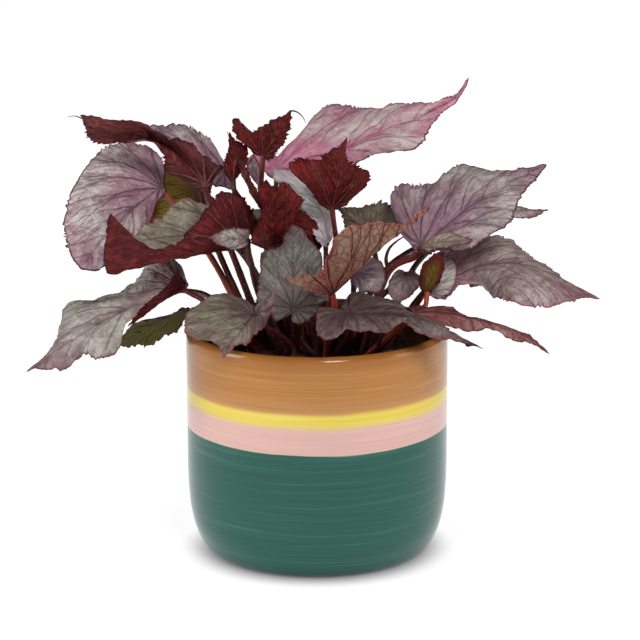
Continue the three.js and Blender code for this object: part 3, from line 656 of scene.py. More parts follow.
def pleats(x, y, length, share):
    """Height of the blade between its sunken veins, from 0 to about 1."""
    angle = np.arctan2(y, x)
    radius = np.hypot(x, y)
    between = 2 * ping_pong(angle / RAY_STEP, 0.5)
    width = RAY_STEP * radius * length
    rays = (1 - (1 - between) ** 2) * np.minimum(1, width / PLEAT_WIDTH)
    side = 2 * ping_pong((x - y * SIDE_VEIN_SLOPE) / SIDE_VEIN_STEP, 0.5)
    inner = np.clip((RAY_STEP - angle) / RAY_STEP * 3, 0, 1) * np.clip((x - SIDE_VEINS_FROM) * 5, 0, 1)
    sides = (1 - (1 - side) ** 2) * 0.5 * inner
    quilt = 0.16 * np.sin(x * length * 0.95 + 1.3 * np.sin(y * length * 0.5)) * np.sin(y * length * 1.1 + 0.7)
    return (rays + sides + quilt * np.minimum(1, width / QUILT_WIDTH)) * (1 - 0.35 * share**2)


def sheet_faces(count, fan_steps, midrib_count):
    """Faces from the midrib's points out to the edge, ring by ring. Each ring has count points."""
    turn = np.arange(count + 1) % count
    rib = np.maximum(0, np.minimum(turn, count - turn) - fan_steps).tolist()
    faces = []
    for k in range(len(RING_SHARES) - 1):
        inner, outer = midrib_count + (k - 1) * count, midrib_count + k * count
        for i in range(count):
            j = (i + 1) % count
            if k:
                faces.append((inner + i, outer + i, outer + j, inner + j))
            elif rib[i] == rib[i + 1]:
                faces.append((rib[i], outer + i, outer + j))
            else:
                faces.append((rib[i], outer + i, outer + j, rib[i + 1]))
    return faces


def blade_sheet(spec, order, settings):
    """The blade's middle layer: points, faces, the edge's point numbers, the two maps' values, and
    whether the faces point out of the upper face."""
    small = spec.get("small", False)
    centre, tip, edge, normal, flipped = blade_frame(spec)
    midrib = smooth_curve([centre, *(seen(mark) for mark in spec.get("midrib", ())), tip], MIDRIB_STEPS)
    count = len(edge)
    rng = np.random.default_rng(100 + order)
    place = np.arange(count) / count
    half = np.minimum(place, 1 - place) * 2
    fan = FAN_SHARE[small]
    along = np.maximum(0, half - fan) / (1 - fan) * MIDRIB_SHARE
    bow_along = 4 * along * (1 - along)
    rib = points_at(midrib, along, np.linspace(0, 1, MIDRIB_STEPS + 1))
    reach = np.linalg.norm(edge - rib, axis=1)
    spacing = float(np.mean(np.linalg.norm(np.diff(edge, axis=0), axis=1)))
    room = np.minimum(np.linalg.norm(edge - tip, axis=1), np.linalg.norm(edge - centre, axis=1))
    sharpness = SHARPNESS.get(spec["finish"], 0.0)
    pleating = PLEATING.get(spec["finish"], 1 + 1.3 * sharpness)
    stretch = settings.tooth_height * teeth(count, spacing, room, small, sharpness, rng)
    phase = order * PHASE_STEP
    width = np.minimum(1, reach / FULL_BOW_WIDTH) * (1 - half**TIP_TAPER)
    ripple = WAVE[small] * np.sin(2 * np.pi * WAVE_COUNT * place + phase)
    frill = 0.45 * np.sin(2 * np.pi * 23 * place + 2 * phase) + 0.25 * np.sin(2 * np.pi * 41 * place)

    axis = tip - centre
    length = np.linalg.norm(axis)
    rib_x = (midrib - centre) @ axis / length**2
    rib_off = midrib - centre - rib_x[:, None] * axis
    signs = np.where(place <= 0.5, 1.0, -1.0)
    layers, flats, rims = [], [], []
    for share in RING_SHARES:
        grown_share = share * (1 + stretch * share**4 / np.maximum(reach, 1))
        flat = rib + grown_share[:, None] * (edge - rib)
        arch = bow_along * (1 - share) + 4 * share * (1 - share) * width
        rel = flat - centre
        x = rel @ axis / length**2
        y = np.linalg.norm(rel - x[:, None] * axis - points_at(rib_off, x, rib_x), axis=1) / length
        lift = spec["arch"] * arch + ripple * share**3 + frill * share**6
        lift += settings.pleat_depth / MM * pleating * pleats(x, y, length, share)
        layers.append(flat + lift[:, None] * normal)
        flats.append(np.stack([x, y * signs], axis=1))
        rims.append(np.stack([(1 - share) * reach, place * count * spacing], axis=1))

    fan_steps = int(round(fan * count / 2))
    keep = np.arange(fan_steps, count // 2 + 1)
    points, flat_map, rim_map = (np.vstack([rows[0][keep], *rows[1:]]) for rows in (layers, flats, rims))
    faces = sheet_faces(count, fan_steps, len(keep))
    upper_first = flipped == spec.get("turned", False)
    return points, faces, np.arange(len(points) - count, len(points)), flat_map, rim_map, upper_first


def make_blade(name, spec, order, settings, finishes):
    """A blade, and how many of its faces, the last ones, are its narrow outer side."""
    points, faces, rim, flat_map, rim_map, upper_first = blade_sheet(spec, order, settings)
    thin = np.clip(rim_map[:, 0] / EDGE_TAPER, EDGE_THINNESS, 1)[:, None]
    offset = vertex_normals(points, faces) * thin * settings.thickness / MM / 2
    size = len(points)
    all_faces = list(faces) + [tuple(size + k for k in reversed(face)) for face in faces]
    following = np.roll(rim, -1)
    all_faces += [(a, size + a, size + b, b) for a, b in zip(rim.tolist(), following.tolist())]
    slots = np.full(len(all_faces), 1, np.int32)
    upper = slice(0, len(faces)) if upper_first else slice(len(faces), 2 * len(faces))
    slots[upper] = 0
    both = np.vstack([points + offset, points - offset])
    maps = {"flat": np.vstack([flat_map, flat_map]), "rim": np.vstack([rim_map, rim_map]) * UV_PER_MM}
    blade = make_piece("blade_" + name, both, all_faces, finishes[spec["finish"]], slots, maps)
    return blade, len(rim)


# ---- stalks and rootstock ----
ROOTSTOCK_Z = float(SOIL_HIGH[2] / MM) - 2.0  # mm; the soil's crown rises 1 mm over its edge
ARMS = ((-38, 6), (-26, -16), (6, -26), (38, -10), (46, 14), (18, 30), (-16, 26))  # ends, mm
ARM_BEND = 0.12  # sideways, as a share of the arm
ARM_STRETCH = (0.15, 0.84)  # the part of an arm that carries stalks
ARM_STEPS, ARM_SIDES = 32, 24
ARM_THICK, ARM_THIN = 9.0, 5.0  # mm, radius at the middle of the plant and at the arm's end
ARM_END = (0.94, 0.82, 0.6, 0.3)  # shares of the radius that round the end off
ARM_FLATNESS = 0.8
ROOT_RISE = 2.0  # mm from the arm's middle up to the foot of a stalk
STALK_SPREAD = 0.42  # how far out a stalk's foot is looked for, as a share of its blade's distance
STALK_HUMP = 0.16  # rise over a straight stalk that has no landmark, as a share of its length
STALK_NECK, STALK_NECK_SHARE = 7.0, 0.12  # straight end: at most so many mm and such a share
STALK_END_DEPTH = 0.2  # mm under the blade's middle layer
LEAST_SLANT = 0.55  # of a stalk's end against the face of its blade
STALK_TAPER = 0.8  # power by which a stalk narrows from its foot
ROOT_SWELLING, ROOT_FADE = 0.9, 22  # mm that the foot is thicker, and how fast that fades
TIP_SWELLING, TIP_FADE = 0.35, 30
STALK_STEPS, STALK_SIDES = 40, 14
STALK_GROOVES, GROOVE_DEPTH = 4, 0.035  # round the stalk, as a share of its radius
STALK_TONES = {
    "left_round": "orange", "right_middle": "red", "right_small_red": "orange", "left_olive": "red",
    "left_long": "red", "top_red": "red", "top_small_red": "red", "centre_tan": "orange",
    "right_upper": "red", "centre_red": "red", "upper_left_red": "red", "right_low_narrow": "orange",
    "front_right": "red",
}
STALK_WIDTHS = {"right_upper": 1.6, "upper_left_red": 1.2, "centre_tan": 1.2}  # times the usual
YOUNG_STALKS = 34  # short ones that fill the middle of the plant
YOUNG_STEPS, YOUNG_SIDES = 12, 10
YOUNG_RISE, YOUNG_RADIUS = (13, 32), (1.1, 2.2)  # mm, least and most
THREAD_STEPS, THREAD_SIDES = 24, 6


def nearest_arm_point(target):
    """The place on the rootstock's arms that lies closest to a point."""
    roots = []
    for x, y in ARMS:
        share = np.clip((target[0] * x + target[1] * y) / (x * x + y * y), *ARM_STRETCH)
        roots.append(np.array([x * share, y * share, ROOTSTOCK_Z + ROOT_RISE]))
    return min(roots, key=lambda root: np.linalg.norm(root - target))


def stalk_path(spec, count):
    """From the rootstock past the stalk's landmark to the blade, which it meets at a slant."""
    centre, _, _, normal, _ = blade_frame(spec)
    root = nearest_arm_point(np.array([centre[0] * STALK_SPREAD, centre[1] * STALK_SPREAD, ROOTSTOCK_Z]))
    end = centre - normal * STALK_END_DEPTH
    reach = np.linalg.norm(end - root)
    via = seen(spec["via"]) if "via" in spec else (root + end) / 2 + np.array([0, 0, reach * STALK_HUMP])
    approach = unit(end - via)
    approach = unit(approach + normal * max(0.0, LEAST_SLANT - np.dot(approach, normal)))
    neck = end - approach * min(STALK_NECK, reach * STALK_NECK_SHARE)
    return smooth_curve([root, via, neck, end], count)


def make_stalk(name, spec, order, settings, materials):
    """A grooved stalk, swollen at both ends and a little uneven."""
    path = stalk_path(spec, STALK_STEPS)
    share = np.linspace(0, 1, STALK_STEPS + 1)
    root, tip = settings.root_radius / MM, STALK_WIDTHS.get(name, 1.0) * settings.tip_radius / MM
    radii = root + (tip - root) * share**STALK_TAPER
    radii += ROOT_SWELLING * np.exp(-share * ROOT_FADE) + TIP_SWELLING * np.exp(-(1 - share) * TIP_FADE)
    radii *= 1 + 0.03 * np.sin(share * 37 + order) + 0.02 * np.sin(share * 83 + 2 * order)
    points, faces, values = tube(path, radii, STALK_SIDES)
    grooves = 1 + GROOVE_DEPTH * np.cos(values[:-2, 1] * 2 * math.pi * STALK_GROOVES)
    rings = points[:-2].reshape(-1, STALK_SIDES, 3)
    middles = path[:, None, :]
    rings = middles + (rings - middles) * grooves.reshape(-1, STALK_SIDES, 1)
    points[:-2] = rings.reshape(-1, 3)
    skin = materials[STALK_TONES.get(name, "dark")]
    return make_piece("stalk_" + name, points, faces, [skin], maps={"flat": values})


def young_stalk_parts(rng):
    """Young stalks, pointed at the end, that stand among the others on the rootstock."""
    narrowing = 0.75 * np.linspace(0, 1, YOUNG_STEPS + 1) ** 3
    for _ in range(YOUNG_STALKS):
        x, y = ARMS[rng.integers(len(ARMS))]
        share, side = rng.uniform(0.15, 0.95), rng.normal(0, 3, 2)
        foot = np.array([x * share + side[0], y * share + side[1], ROOTSTOCK_Z])
        lean = np.array([foot[0], foot[1], 0]) * rng.uniform(0.05, 0.3) + np.append(rng.normal(0, 4, 2), 0)
        rise = rng.uniform(*YOUNG_RISE)
        marks = [foot, foot + lean * 0.4 + [0, 0, rise * 0.5], foot + lean + [0, 0, rise]]
        radii = rng.uniform(*YOUNG_RADIUS) * (1 - narrowing)
        yield tube(smooth_curve(marks, YOUNG_STEPS), radii, YOUNG_SIDES)


def make_thread(name, marks, radius, material):
    """A dry thread that narrows towards its free end."""
    path = smooth_curve([seen(mark) for mark in marks], THREAD_STEPS)
    radii = radius * (1 - 0.8 * np.linspace(0, 1, THREAD_STEPS + 1))
    points, faces, values = tube(path, radii, THREAD_SIDES)
    return make_piece(name, points, faces, [material], maps={"flat": values})


def bumps(points, scale, seed):
    """Smooth lumps, mostly between -1 and 1, from a few crossing waves."""
    rng = np.random.default_rng(seed)
    total = np.zeros(len(points))
    for _ in range(6):
        direction = rng.normal(size=3)
        total += np.sin(points @ direction / scale + rng.uniform(0, 6.28)) / 6
    return total * 1.6


def rootstock_parts():
    """The arms that creep over the soil from the middle of the plant, as lumpy tubes."""
    t = np.linspace(0, 1, ARM_STEPS + 1)[:, None]
    for k, (x, y) in enumerate(ARMS):
        end = np.array([x, y, 0.0])
        middle = np.array([x / 2 - y * ARM_BEND, y / 2 + x * ARM_BEND, 0.0])
        path = 2 * t * (1 - t) * middle + t**2 * end
        radii = ARM_THICK - (ARM_THICK - ARM_THIN) * t[:, 0]
        radii *= 1 + 0.08 * np.abs(np.sin(t[:, 0] * 17 + k))
        radii[-len(ARM_END):] *= np.array(ARM_END)
        points, faces, values = tube(path, radii, ARM_SIDES)
        points += (points - points.mean(axis=0)) * 0.02 * bumps(points, 2.2, 40 + k)[:, None]
        points[:, 2] = points[:, 2] * ARM_FLATNESS + ROOTSTOCK_Z
        yield points, faces, values


# ---- node trees ----
class Tree:
    """Short calls that add nodes to a tree. Each gives the new node or its first output."""

    def __init__(self, tree):
        self.tree = tree

    def node(self, kind, inputs=None, **settings):
        made = self.tree.nodes.new(kind)
        for key, value in settings.items():
            setattr(made, key, value)
        self.fill(made, inputs or {})
        return made

    def fill(self, node, inputs):
        """Gives a node's inputs, by name or number, a value or a link to a node or a socket."""
        for key, value in inputs.items():
            if isinstance(value, bpy.types.Node):
                value = value.outputs[0]
            if isinstance(value, bpy.types.NodeSocket):
                self.tree.links.new(value, node.inputs[key])
            else:
                node.inputs[key].default_value = value

    def math(self, operation, *values):
        return self.node("ShaderNodeMath", dict(enumerate(values)), operation=operation).outputs[0]

    def add(self, a, b):
        return self.math("ADD", a, b)

    def subtract(self, a, b):
        return self.math("SUBTRACT", a, b)

    def multiply(self, a, b):
        return self.math("MULTIPLY", a, b)

    def weighted(self, *terms):
        """The sum of (value, weight) terms."""
        total, *rest = [self.multiply(*term) for term in terms]
        for term in rest:
            total = self.add(total, term)
        return total

    def vector(self, operation, *values):
        made = self.node("ShaderNodeVectorMath", dict(enumerate(values)), operation=operation)
        return made.outputs["Value" if operation == "LENGTH" else "Vector"]

    def step(self, value, low, high, start=0.0, end=1.0):
        """A smooth change from start to end as the value goes from low to high."""
        inputs = {"Value": value, "From Min": low, "From Max": high, "To Min": start, "To Max": end}
        return self.node("ShaderNodeMapRange", inputs, interpolation_type="SMOOTHSTEP").outputs[0]

    def mix(self, factor, a, b):
        return self.node("ShaderNodeMix", {0: factor, 6: a, 7: b}, data_type="RGBA").outputs[2]

    def noise(self, vector, scale, detail, roughness=0.5, distortion=0.0, output="Fac"):
        inputs = {"Vector": vector, "Scale": scale, "Detail": detail, "Roughness": roughness}
        inputs["Distortion"] = distortion
        return self.node("ShaderNodeTexNoise", inputs).outputs[output]

    def xyz(self, x=0.0, y=0.0, z=0.0):
        return self.node("ShaderNodeCombineXYZ", {"X": x, "Y": y, "Z": z}).outputs[0]

    def split(self, vector):
        return self.node("ShaderNodeSeparateXYZ", {"Vector": vector}).outputs

    def uv(self, label):
        return self.node("ShaderNodeUVMap", uv_map=label).outputs[0]

    def bump(self, height, strength, distance):
        inputs = {"Height": height, "Strength": strength, "Distance": distance}
        return self.node("ShaderNodeBump", inputs).outputs[0]


def linear(red, green, blue):
    """A colour given as it looks on screen, from 0 to 255, as the linear values that shaders take."""
    shown = [c / 255 for c in (red, green, blue)]
    return tuple(c / 12.92 if c <= 0.04045 else ((c + 0.055) / 1.055) ** 2.4 for c in shown) + (1.0,)


def new_material(name):
    """A material with a Principled surface: the tree's calls, the surface and the object's coordinates."""
    material = bpy.data.materials.new(name)
    material.use_nodes = True
    t = Tree(material.node_tree)
    surface = material.node_tree.nodes["Principled BSDF"]
    place = t.node("ShaderNodeTexCoord").outputs["Object"]
    return material, t, surface, place


VEIN_WIDTH = (0.0048, 0.0022)  # at the stalk's end and at the tip, as a share of the midrib
FORK_FROM, FORK_SLOPE = 0.36, 0.3  # where the veins from the stalk's end fork, and how fast they part
SIDE_VEIN_SLANT = 0.61  # distance between two side veins, as a share of their spacing along the midrib


def vein_pattern(t, place, net):
    """Sockets for a blade's veins: lines and net lines from 0 to 1, nearness to a line (painted shade in
    the vein valleys), the turn round the stalk's end in steps of a ray, the distance from it, and the
    drifting flat coordinates."""
    drift = t.vector("SUBTRACT", t.noise(place, 48.0, 3.0, output="Color"), (0.5, 0.5, 0.5))
    moved = t.vector("ADD", t.uv("flat"), t.vector("MULTIPLY", drift, (0.075, 0.075, 0.0)))
    x, y, _ = t.split(moved)
    y = t.math("ABSOLUTE", y)
    radius = t.vector("LENGTH", t.xyz(x, y))
    turn = t.math("DIVIDE", t.math("ARCTAN2", y, x), RAY_STEP)
    off_ray = t.multiply(t.multiply(t.math("PINGPONG", turn, 0.5), RAY_STEP), radius)
    fork = t.multiply(t.math("MAXIMUM", t.subtract(radius, FORK_FROM), 0.0), FORK_SLOPE)
    off_fork = t.math("ABSOLUTE", t.subtract(off_ray, fork))
    side_place = t.subtract(x, t.multiply(y, SIDE_VEIN_SLOPE))
    side_turn = t.math("PINGPONG", t.math("DIVIDE", side_place, SIDE_VEIN_STEP), 0.5)
    off_side = t.multiply(side_turn, SIDE_VEIN_STEP * SIDE_VEIN_SLANT)
    outside = t.math("MAXIMUM", t.step(turn, 0.9, 1.0), t.step(x, 0.26, 0.2))
    off = t.math("MINIMUM", off_ray, t.math("MINIMUM", off_fork, t.add(off_side, outside)))
    width = t.step(radius, 0.0, 1.0, *VEIN_WIDTH)
    line = t.subtract(1.0, t.step(t.math("DIVIDE", off, width), 0.4, 1.8))
    # Nearness to a vein, 1 on it and 0 past 0.045: the finishes darken with it as painted shade in the
    # valleys beside the veins.
    vein_valley_shade = t.subtract(1.0, t.step(off, 0.0, 0.045))
    cells = t.node("ShaderNodeTexVoronoi", {"Vector": moved, "Scale": 17.0}, feature="DISTANCE_TO_EDGE")
    mesh_line = t.step(cells.outputs["Distance"], 0.08, 0.0, 0.0, net)
    return line, vein_valley_shade, mesh_line, turn, radius, moved


def margin_of(t, low, high):
    """1 on the blade's margin, falling to 0 inside, between two distances in mm."""
    return t.step(t.split(t.uv("rim"))[0], low * UV_PER_MM, high * UV_PER_MM, 1.0, 0.0)


def upper_finish(name, centre, blade, bright, shade, vein, margin, spread=(0.15, 0.62), veins=0.8):
    """Upper face: silver streaks and puckers between sunken veins, darker round the stalk's end.
    spread is the distance from there over which the blade's own colour sets in."""
    material, t, surface, place = new_material("leaf_upper_" + name)
    line, vein_valley_shade, mesh_line, turn, radius, flat = vein_pattern(t, place, 0.6)
    streak_place = t.xyz(t.multiply(turn, 3.4), t.multiply(radius, 4.5), 0.3)
    streaks = t.noise(streak_place, 1.7, 5.0, 0.65, 0.5)
    blotch = t.noise(place, 130.0, 5.0, 0.62, 0.7)
    specks = t.noise(place, 520.0, 3.0, 0.6)
    cloud = t.noise(place, 24.0, 3.0, 0.55)
    mottle = t.weighted((streaks, 0.65), (blotch, 0.35))
    silver = t.step(mottle, 0.43, 0.6)

    # The colour of the stalk's end runs out along the midrib, into clouds and into the tip.
    zone = t.step(t.add(radius, t.multiply(t.subtract(cloud, 0.5), 1.3)), *spread)
    x, y, _ = t.split(flat)
    off_rib = t.add(t.math("ABSOLUTE", y), t.multiply(cloud, 0.12))
    band = t.multiply(t.step(off_rib, 0.13, 0.06), t.step(x, 0.9, 0.5, 0.0, 0.7))
    zone = t.math("MINIMUM", zone, t.subtract(1.0, band))
    zone = t.math("MINIMUM", zone, t.step(x, 0.52, 0.92, 1.0, 0.1))

    colour = t.mix(zone, centre, blade)
    colour = t.mix(t.multiply(margin_of(t, 0.5, 9.0), 0.3), colour, centre)
    colour = t.mix(t.multiply(silver, t.step(zone, 0.0, 1.0, 0.3, 0.85)), colour, bright)
    colour = t.mix(t.step(mottle, 0.48, 0.36, 0.0, 0.6), colour, shade)
    colour = t.mix(t.multiply(t.step(specks, 0.52, 0.7, 0.0, 0.2), zone), colour, bright)
    colour = t.mix(t.step(specks, 0.46, 0.3, 0.0, 0.25), colour, shade)
    strength = t.step(radius, 0.1, 0.75, veins, veins * 0.3)
    # Painted shade in the valleys along the sunken veins.
    colour = t.mix(t.multiply(vein_valley_shade, t.multiply(strength, 0.25)), colour, shade)
    colour = t.mix(t.multiply(mesh_line, 0.3), colour, shade)
    colour = t.mix(t.multiply(line, strength), colour, vein)
    colour = t.mix(margin_of(t, 0.3, 1.5), colour, margin)

    pucker_inputs = {"Vector": place, "Scale": 210.0, "Smoothness": 0.7}
    pucker = t.node("ShaderNodeTexVoronoi", pucker_inputs, feature="SMOOTH_F1").outputs["Distance"]
    height = t.weighted((blotch, 1.3), (line, -0.5), (pucker, -0.9), (mesh_line, -0.25), (specks, 0.25))
    t.fill(surface, {
        "Base Color": colour, "Roughness": t.step(silver, 0.0, 1.0, 0.5, 0.36),
        "Specular IOR Level": 0.4, "Normal": t.bump(height, 0.9, 0.0015),
    })
    return material


def under_finish(name, dark, light, vein, margin, base, net=0.2, rim=0.3, veins=0.75, streak=0.3,
                 rim_width=4.0):
    """Underside: velvety, with raised veins. base is the colour round the stalk's end, which also
    tints the margin over rim_width mm."""
    material, t, surface, place = new_material("leaf_under_" + name)
    line, vein_valley_shade, mesh_line, turn, radius, _ = vein_pattern(t, place, net)
    cloud = t.noise(place, 42.0, 4.0, 0.6)
    fibre_place = t.xyz(t.multiply(turn, 5.0), t.multiply(radius, 3.0), 0.7)
    fibres = t.noise(fibre_place, 2.6, 5.0, 0.62, 0.3)
    specks = t.noise(place, 600.0, 3.0, 0.6)
    colour = t.mix(t.step(t.weighted((cloud, 0.6), (fibres, 0.4)), 0.4, 0.6), dark, light)
    colour = t.mix(t.step(fibres, 0.52, 0.66, 0.0, streak), colour, vein)
    colour = t.mix(t.step(fibres, 0.46, 0.34, 0.0, 0.4), colour, dark)
    colour = t.mix(t.step(t.add(radius, t.multiply(cloud, 0.3)), 0.55, 0.2), colour, base)
    colour = t.mix(t.step(specks, 0.5, 0.7, 0.0, 0.35), colour, light)
    colour = t.mix(t.step(specks, 0.48, 0.3, 0.0, 0.4), colour, dark)
    colour = t.mix(t.multiply(mesh_line, 0.8), colour, vein)
    # Painted shade beside the raised veins, as in the creases between them.
    colour = t.mix(t.multiply(vein_valley_shade, 0.6), colour, dark)
    colour = t.mix(t.multiply(line, t.step(radius, 0.2, 0.9, veins, veins * 0.6)), colour, vein)
    colour = t.mix(t.multiply(margin_of(t, rim_width / 4, rim_width), rim), colour, base)
    colour = t.mix(margin_of(t, 0.2, 1.0), colour, margin)
    height = t.weighted((line, 0.9), (mesh_line, 0.5), (fibres, 0.9), (cloud, 1.2), (specks, 0.4))
    t.fill(surface, {
        "Base Color": colour, "Roughness": t.step(fibres, 0.2, 0.8, 0.42, 0.62),
        "Specular IOR Level": 0.2, "Normal": t.bump(height, 1.0, 0.0026),
    })
    return material


# Colours as they look in the photograph: round the stalk's end, the blade, its silver streaks, its
# shaded parts, the veins and the margin.
UPPER_COLOURS = {
    "pink": ((160, 114, 134), (172, 156, 158), (222, 214, 211), (122, 94, 100), (96, 54, 70), (70, 26, 34)),
    "rose": ((192, 112, 142), (172, 144, 150), (206, 196, 191), (160, 98, 120),
             (150, 78, 102), (110, 40, 52)),
    "lilac": ((146, 106, 124), (158, 130, 139), (206, 196, 195), (96, 64, 72), (80, 40, 52), (62, 20, 28)),
    "silver": ((140, 96, 118), (158, 146, 146), (198, 191, 186), (110, 94, 99), (80, 42, 56), (84, 38, 48)),
    "ash": ((134, 98, 108), (160, 154, 146), (194, 188, 179), (112, 99, 96), (92, 52, 62), (112, 60, 70)),
    "green": ((98, 80, 80), (110, 107, 98), (140, 138, 126), (82, 74, 68), (68, 44, 46), (96, 48, 54)),
    "sage": ((112, 88, 86), (132, 123, 106), (158, 152, 134), (94, 85, 75), (78, 46, 48), (130, 70, 74)),
    "dusk": ((82, 56, 58), (102, 90, 84), (146, 135, 124), (68, 54, 52), (60, 34, 42), (104, 62, 66)),
    "blush": ((116, 50, 52), (128, 80, 78), (164, 126, 120), (92, 38, 40), (84, 28, 32), (92, 26, 32)),
    "haze": ((140, 94, 106), (164, 144, 142), (192, 178, 172), (130, 100, 104), (112, 64, 76), (150, 84, 96)),
    # A pale silver leaf whose colours are raised well over its own: painted light on a blade that the lamps
    # leave in shade.
    "mint_painted_light": ((184, 160, 178), (236, 234, 228), (248, 246, 242), (200, 196, 190),
             (140, 110, 116), (156, 138, 120)),
    "pale": ((142, 118, 104), (146, 132, 120), (176, 166, 150), (120, 90, 86), (108, 52, 62), (120, 58, 66)),
}
UPPER_LOOK = {
    "pink": dict(spread=(0.25, 0.7)),
    "rose": dict(spread=(0.2, 0.6), veins=0.5),
    "lilac": dict(veins=0.7),
    "silver": dict(spread=(0.25, 0.75), veins=0.7),
    "ash": dict(spread=(0.05, 0.4), veins=0.6),
    "green": dict(veins=0.5),
    "dusk": dict(spread=(0.1, 0.7), veins=0.6),
    "haze": dict(spread=(0.1, 0.5), veins=0.32),
    "mint_painted_light": dict(veins=0.3),
}
# Darker and lighter parts of an underside, its veins and margin, and the colour round the stalk's end.
UNDER_COLOURS = {
    "red": ((78, 11, 13), (136, 31, 29), (172, 88, 80), (62, 12, 15), (96, 15, 17)),
    "wine": ((72, 12, 15), (130, 39, 42), (160, 84, 84), (54, 12, 16), (56, 8, 12)),
    "claret": ((94, 30, 33), (142, 66, 66), (174, 112, 110), (56, 14, 18), (70, 14, 18)),
    "olive": ((138, 122, 36), (100, 62, 32), (116, 30, 28), (84, 22, 26), (104, 28, 28)),
    "fresh": ((86, 84, 26), (104, 98, 42), (88, 58, 40), (92, 44, 32), (84, 72, 32)),
    "moss": ((164, 154, 132), (112, 82, 66), (86, 36, 32), (66, 26, 28), (104, 54, 44)),
    "tan": ((136, 92, 78), (154, 130, 106), (84, 10, 16), (164, 106, 98), (146, 40, 42)),
    "blush": ((112, 46, 46), (150, 84, 78), (96, 32, 36), (68, 18, 24), (116, 38, 40)),
}
UNDER_LOOK = {
    "tan": dict(net=0.6, rim=0.35, veins=1.0, streak=0.1),
    "olive": dict(net=0.3, rim=0.95, veins=0.9, streak=0.15, rim_width=8.0),
    "fresh": dict(net=0.2, rim=0.3, veins=0.5, streak=0.1),
    "moss": dict(net=0.5, rim=0.3, veins=0.5, streak=0.2),
    "red": dict(net=0.36, rim=0.3, veins=0.85, streak=0.2),
    "wine": dict(net=0.12, rim=0.3, veins=0.6, streak=0.3),
    "claret": dict(net=0.1, rim=0.3, veins=0.85, streak=0.6),
}
# The upper face and the underside that each finish in the tables of blades stands for.
FINISHES = {
    "pink": ("pink", "red"), "rose": ("rose", "wine"), "lilac": ("lilac", "red"),
    "silver": ("silver", "wine"), "ash": ("ash", "wine"), "haze": ("haze", "wine"),
    "green": ("green", "wine"), "sage": ("sage", "wine"), "dusk": ("dusk", "wine"),
    "mint_painted_light": ("mint_painted_light", "wine"), "pale": ("pale", "blush"), "blush": ("blush", "blush"),
    "red": ("silver", "red"), "wine": ("sage", "wine"), "claret": ("lilac", "claret"),
    "olive": ("green", "olive"), "fresh": ("green", "fresh"), "tan": ("green", "tan"),
    "moss": ("green", "moss"),
}


def blade_finishes():
    """(upper, underside) materials by finish name."""
    upper, under = (
        {name: make(name, *(linear(*colour) for colour in row), **looks.get(name, {}))
         for name, row in colours.items()}
        for make, colours, looks in (
            (upper_finish, UPPER_COLOURS, UPPER_LOOK), (under_finish, UNDER_COLOURS, UNDER_LOOK),
        )
    )
    return {name: (upper[above], under[below]) for name, (above, below) in FINISHES.items()}


def stalk_finish(name, dark, light):
    """Fleshy stalk: long streaks of two reds, paler flecks and a soft shine."""
    material, t, surface, place = new_material(name)
    along, around, _ = t.split(t.uv("flat"))
    turn = t.multiply(around, 2 * math.pi)
    ring = t.xyz(t.math("COSINE", turn), t.math("SINE", turn), t.multiply(along, 1.6))
    streaks = t.noise(ring, 2.2, 4.0, 0.6)
    flecks = t.noise(place, 900.0, 2.0)
    colour = t.mix(t.step(streaks, 0.35, 0.66), dark, light)
    colour = t.mix(t.step(flecks, 0.62, 0.74, 0.0, 0.5), colour, linear(190, 120, 104))
    t.fill(surface, {
        "Base Color": colour, "Roughness": t.step(streaks, 0.3, 0.7, 0.34, 0.5),
        "Specular IOR Level": 0.3, "Normal": t.bump(t.weighted((streaks, 1.0), (flecks, 0.4)), 0.5, 0.0005),
    })
    return material


def rootstock_finish():
    """Brown skin with lumps and pale scars."""
    material, t, surface, place = new_material("rootstock_skin")
    lumps = t.noise(place, 180.0, 5.0, 0.65)
    cells = t.node("ShaderNodeTexVoronoi", {"Vector": place, "Scale": 260.0}).outputs["Distance"]
    colour = t.mix(t.step(lumps, 0.35, 0.65), linear(58, 34, 28), linear(112, 60, 48))
    colour = t.mix(t.step(cells, 0.55, 0.2, 0.0, 0.5), colour, linear(132, 96, 72))
    t.fill(surface, {
        "Base Color": colour, "Roughness": t.step(lumps, 0.2, 0.8, 0.55, 0.85),
        "Normal": t.bump(t.add(lumps, cells), 0.8, 0.0012),
    })
    return material


def hair_finish(name):
    """Hairs from dull red to pale pink."""
    material, t, surface, place = new_material(name)
    tone = t.step(t.noise(place, 60.0, 2.0), 0.35, 0.65)
    colour = t.mix(tone, linear(120, 60, 60), linear(188, 150, 144))
    t.fill(surface, {"Base Color": colour, "Roughness": 0.5, "Specular IOR Level": 0.2})
    return material


def soil_finish(name, dark, light):
    """Crumbly soil, darker where it is damp."""
    material, t, surface, place = new_material(name)
    clods = t.noise(place, 320.0, 6.0, 0.7)
    damp = t.noise(place, 30.0, 2.0)
    colour = t.mix(t.step(clods, 0.36, 0.66), dark, light)
    colour = t.mix(t.step(damp, 0.35, 0.65, 0.0, 0.5), colour, dark)
    t.fill(surface, {
        "Base Color": colour, "Roughness": t.step(clods, 0.3, 0.7, 0.75, 0.98),
        "Specular IOR Level": 0.2, "Normal": t.bump(clods, 1.0, 0.0015),
    })
    return material


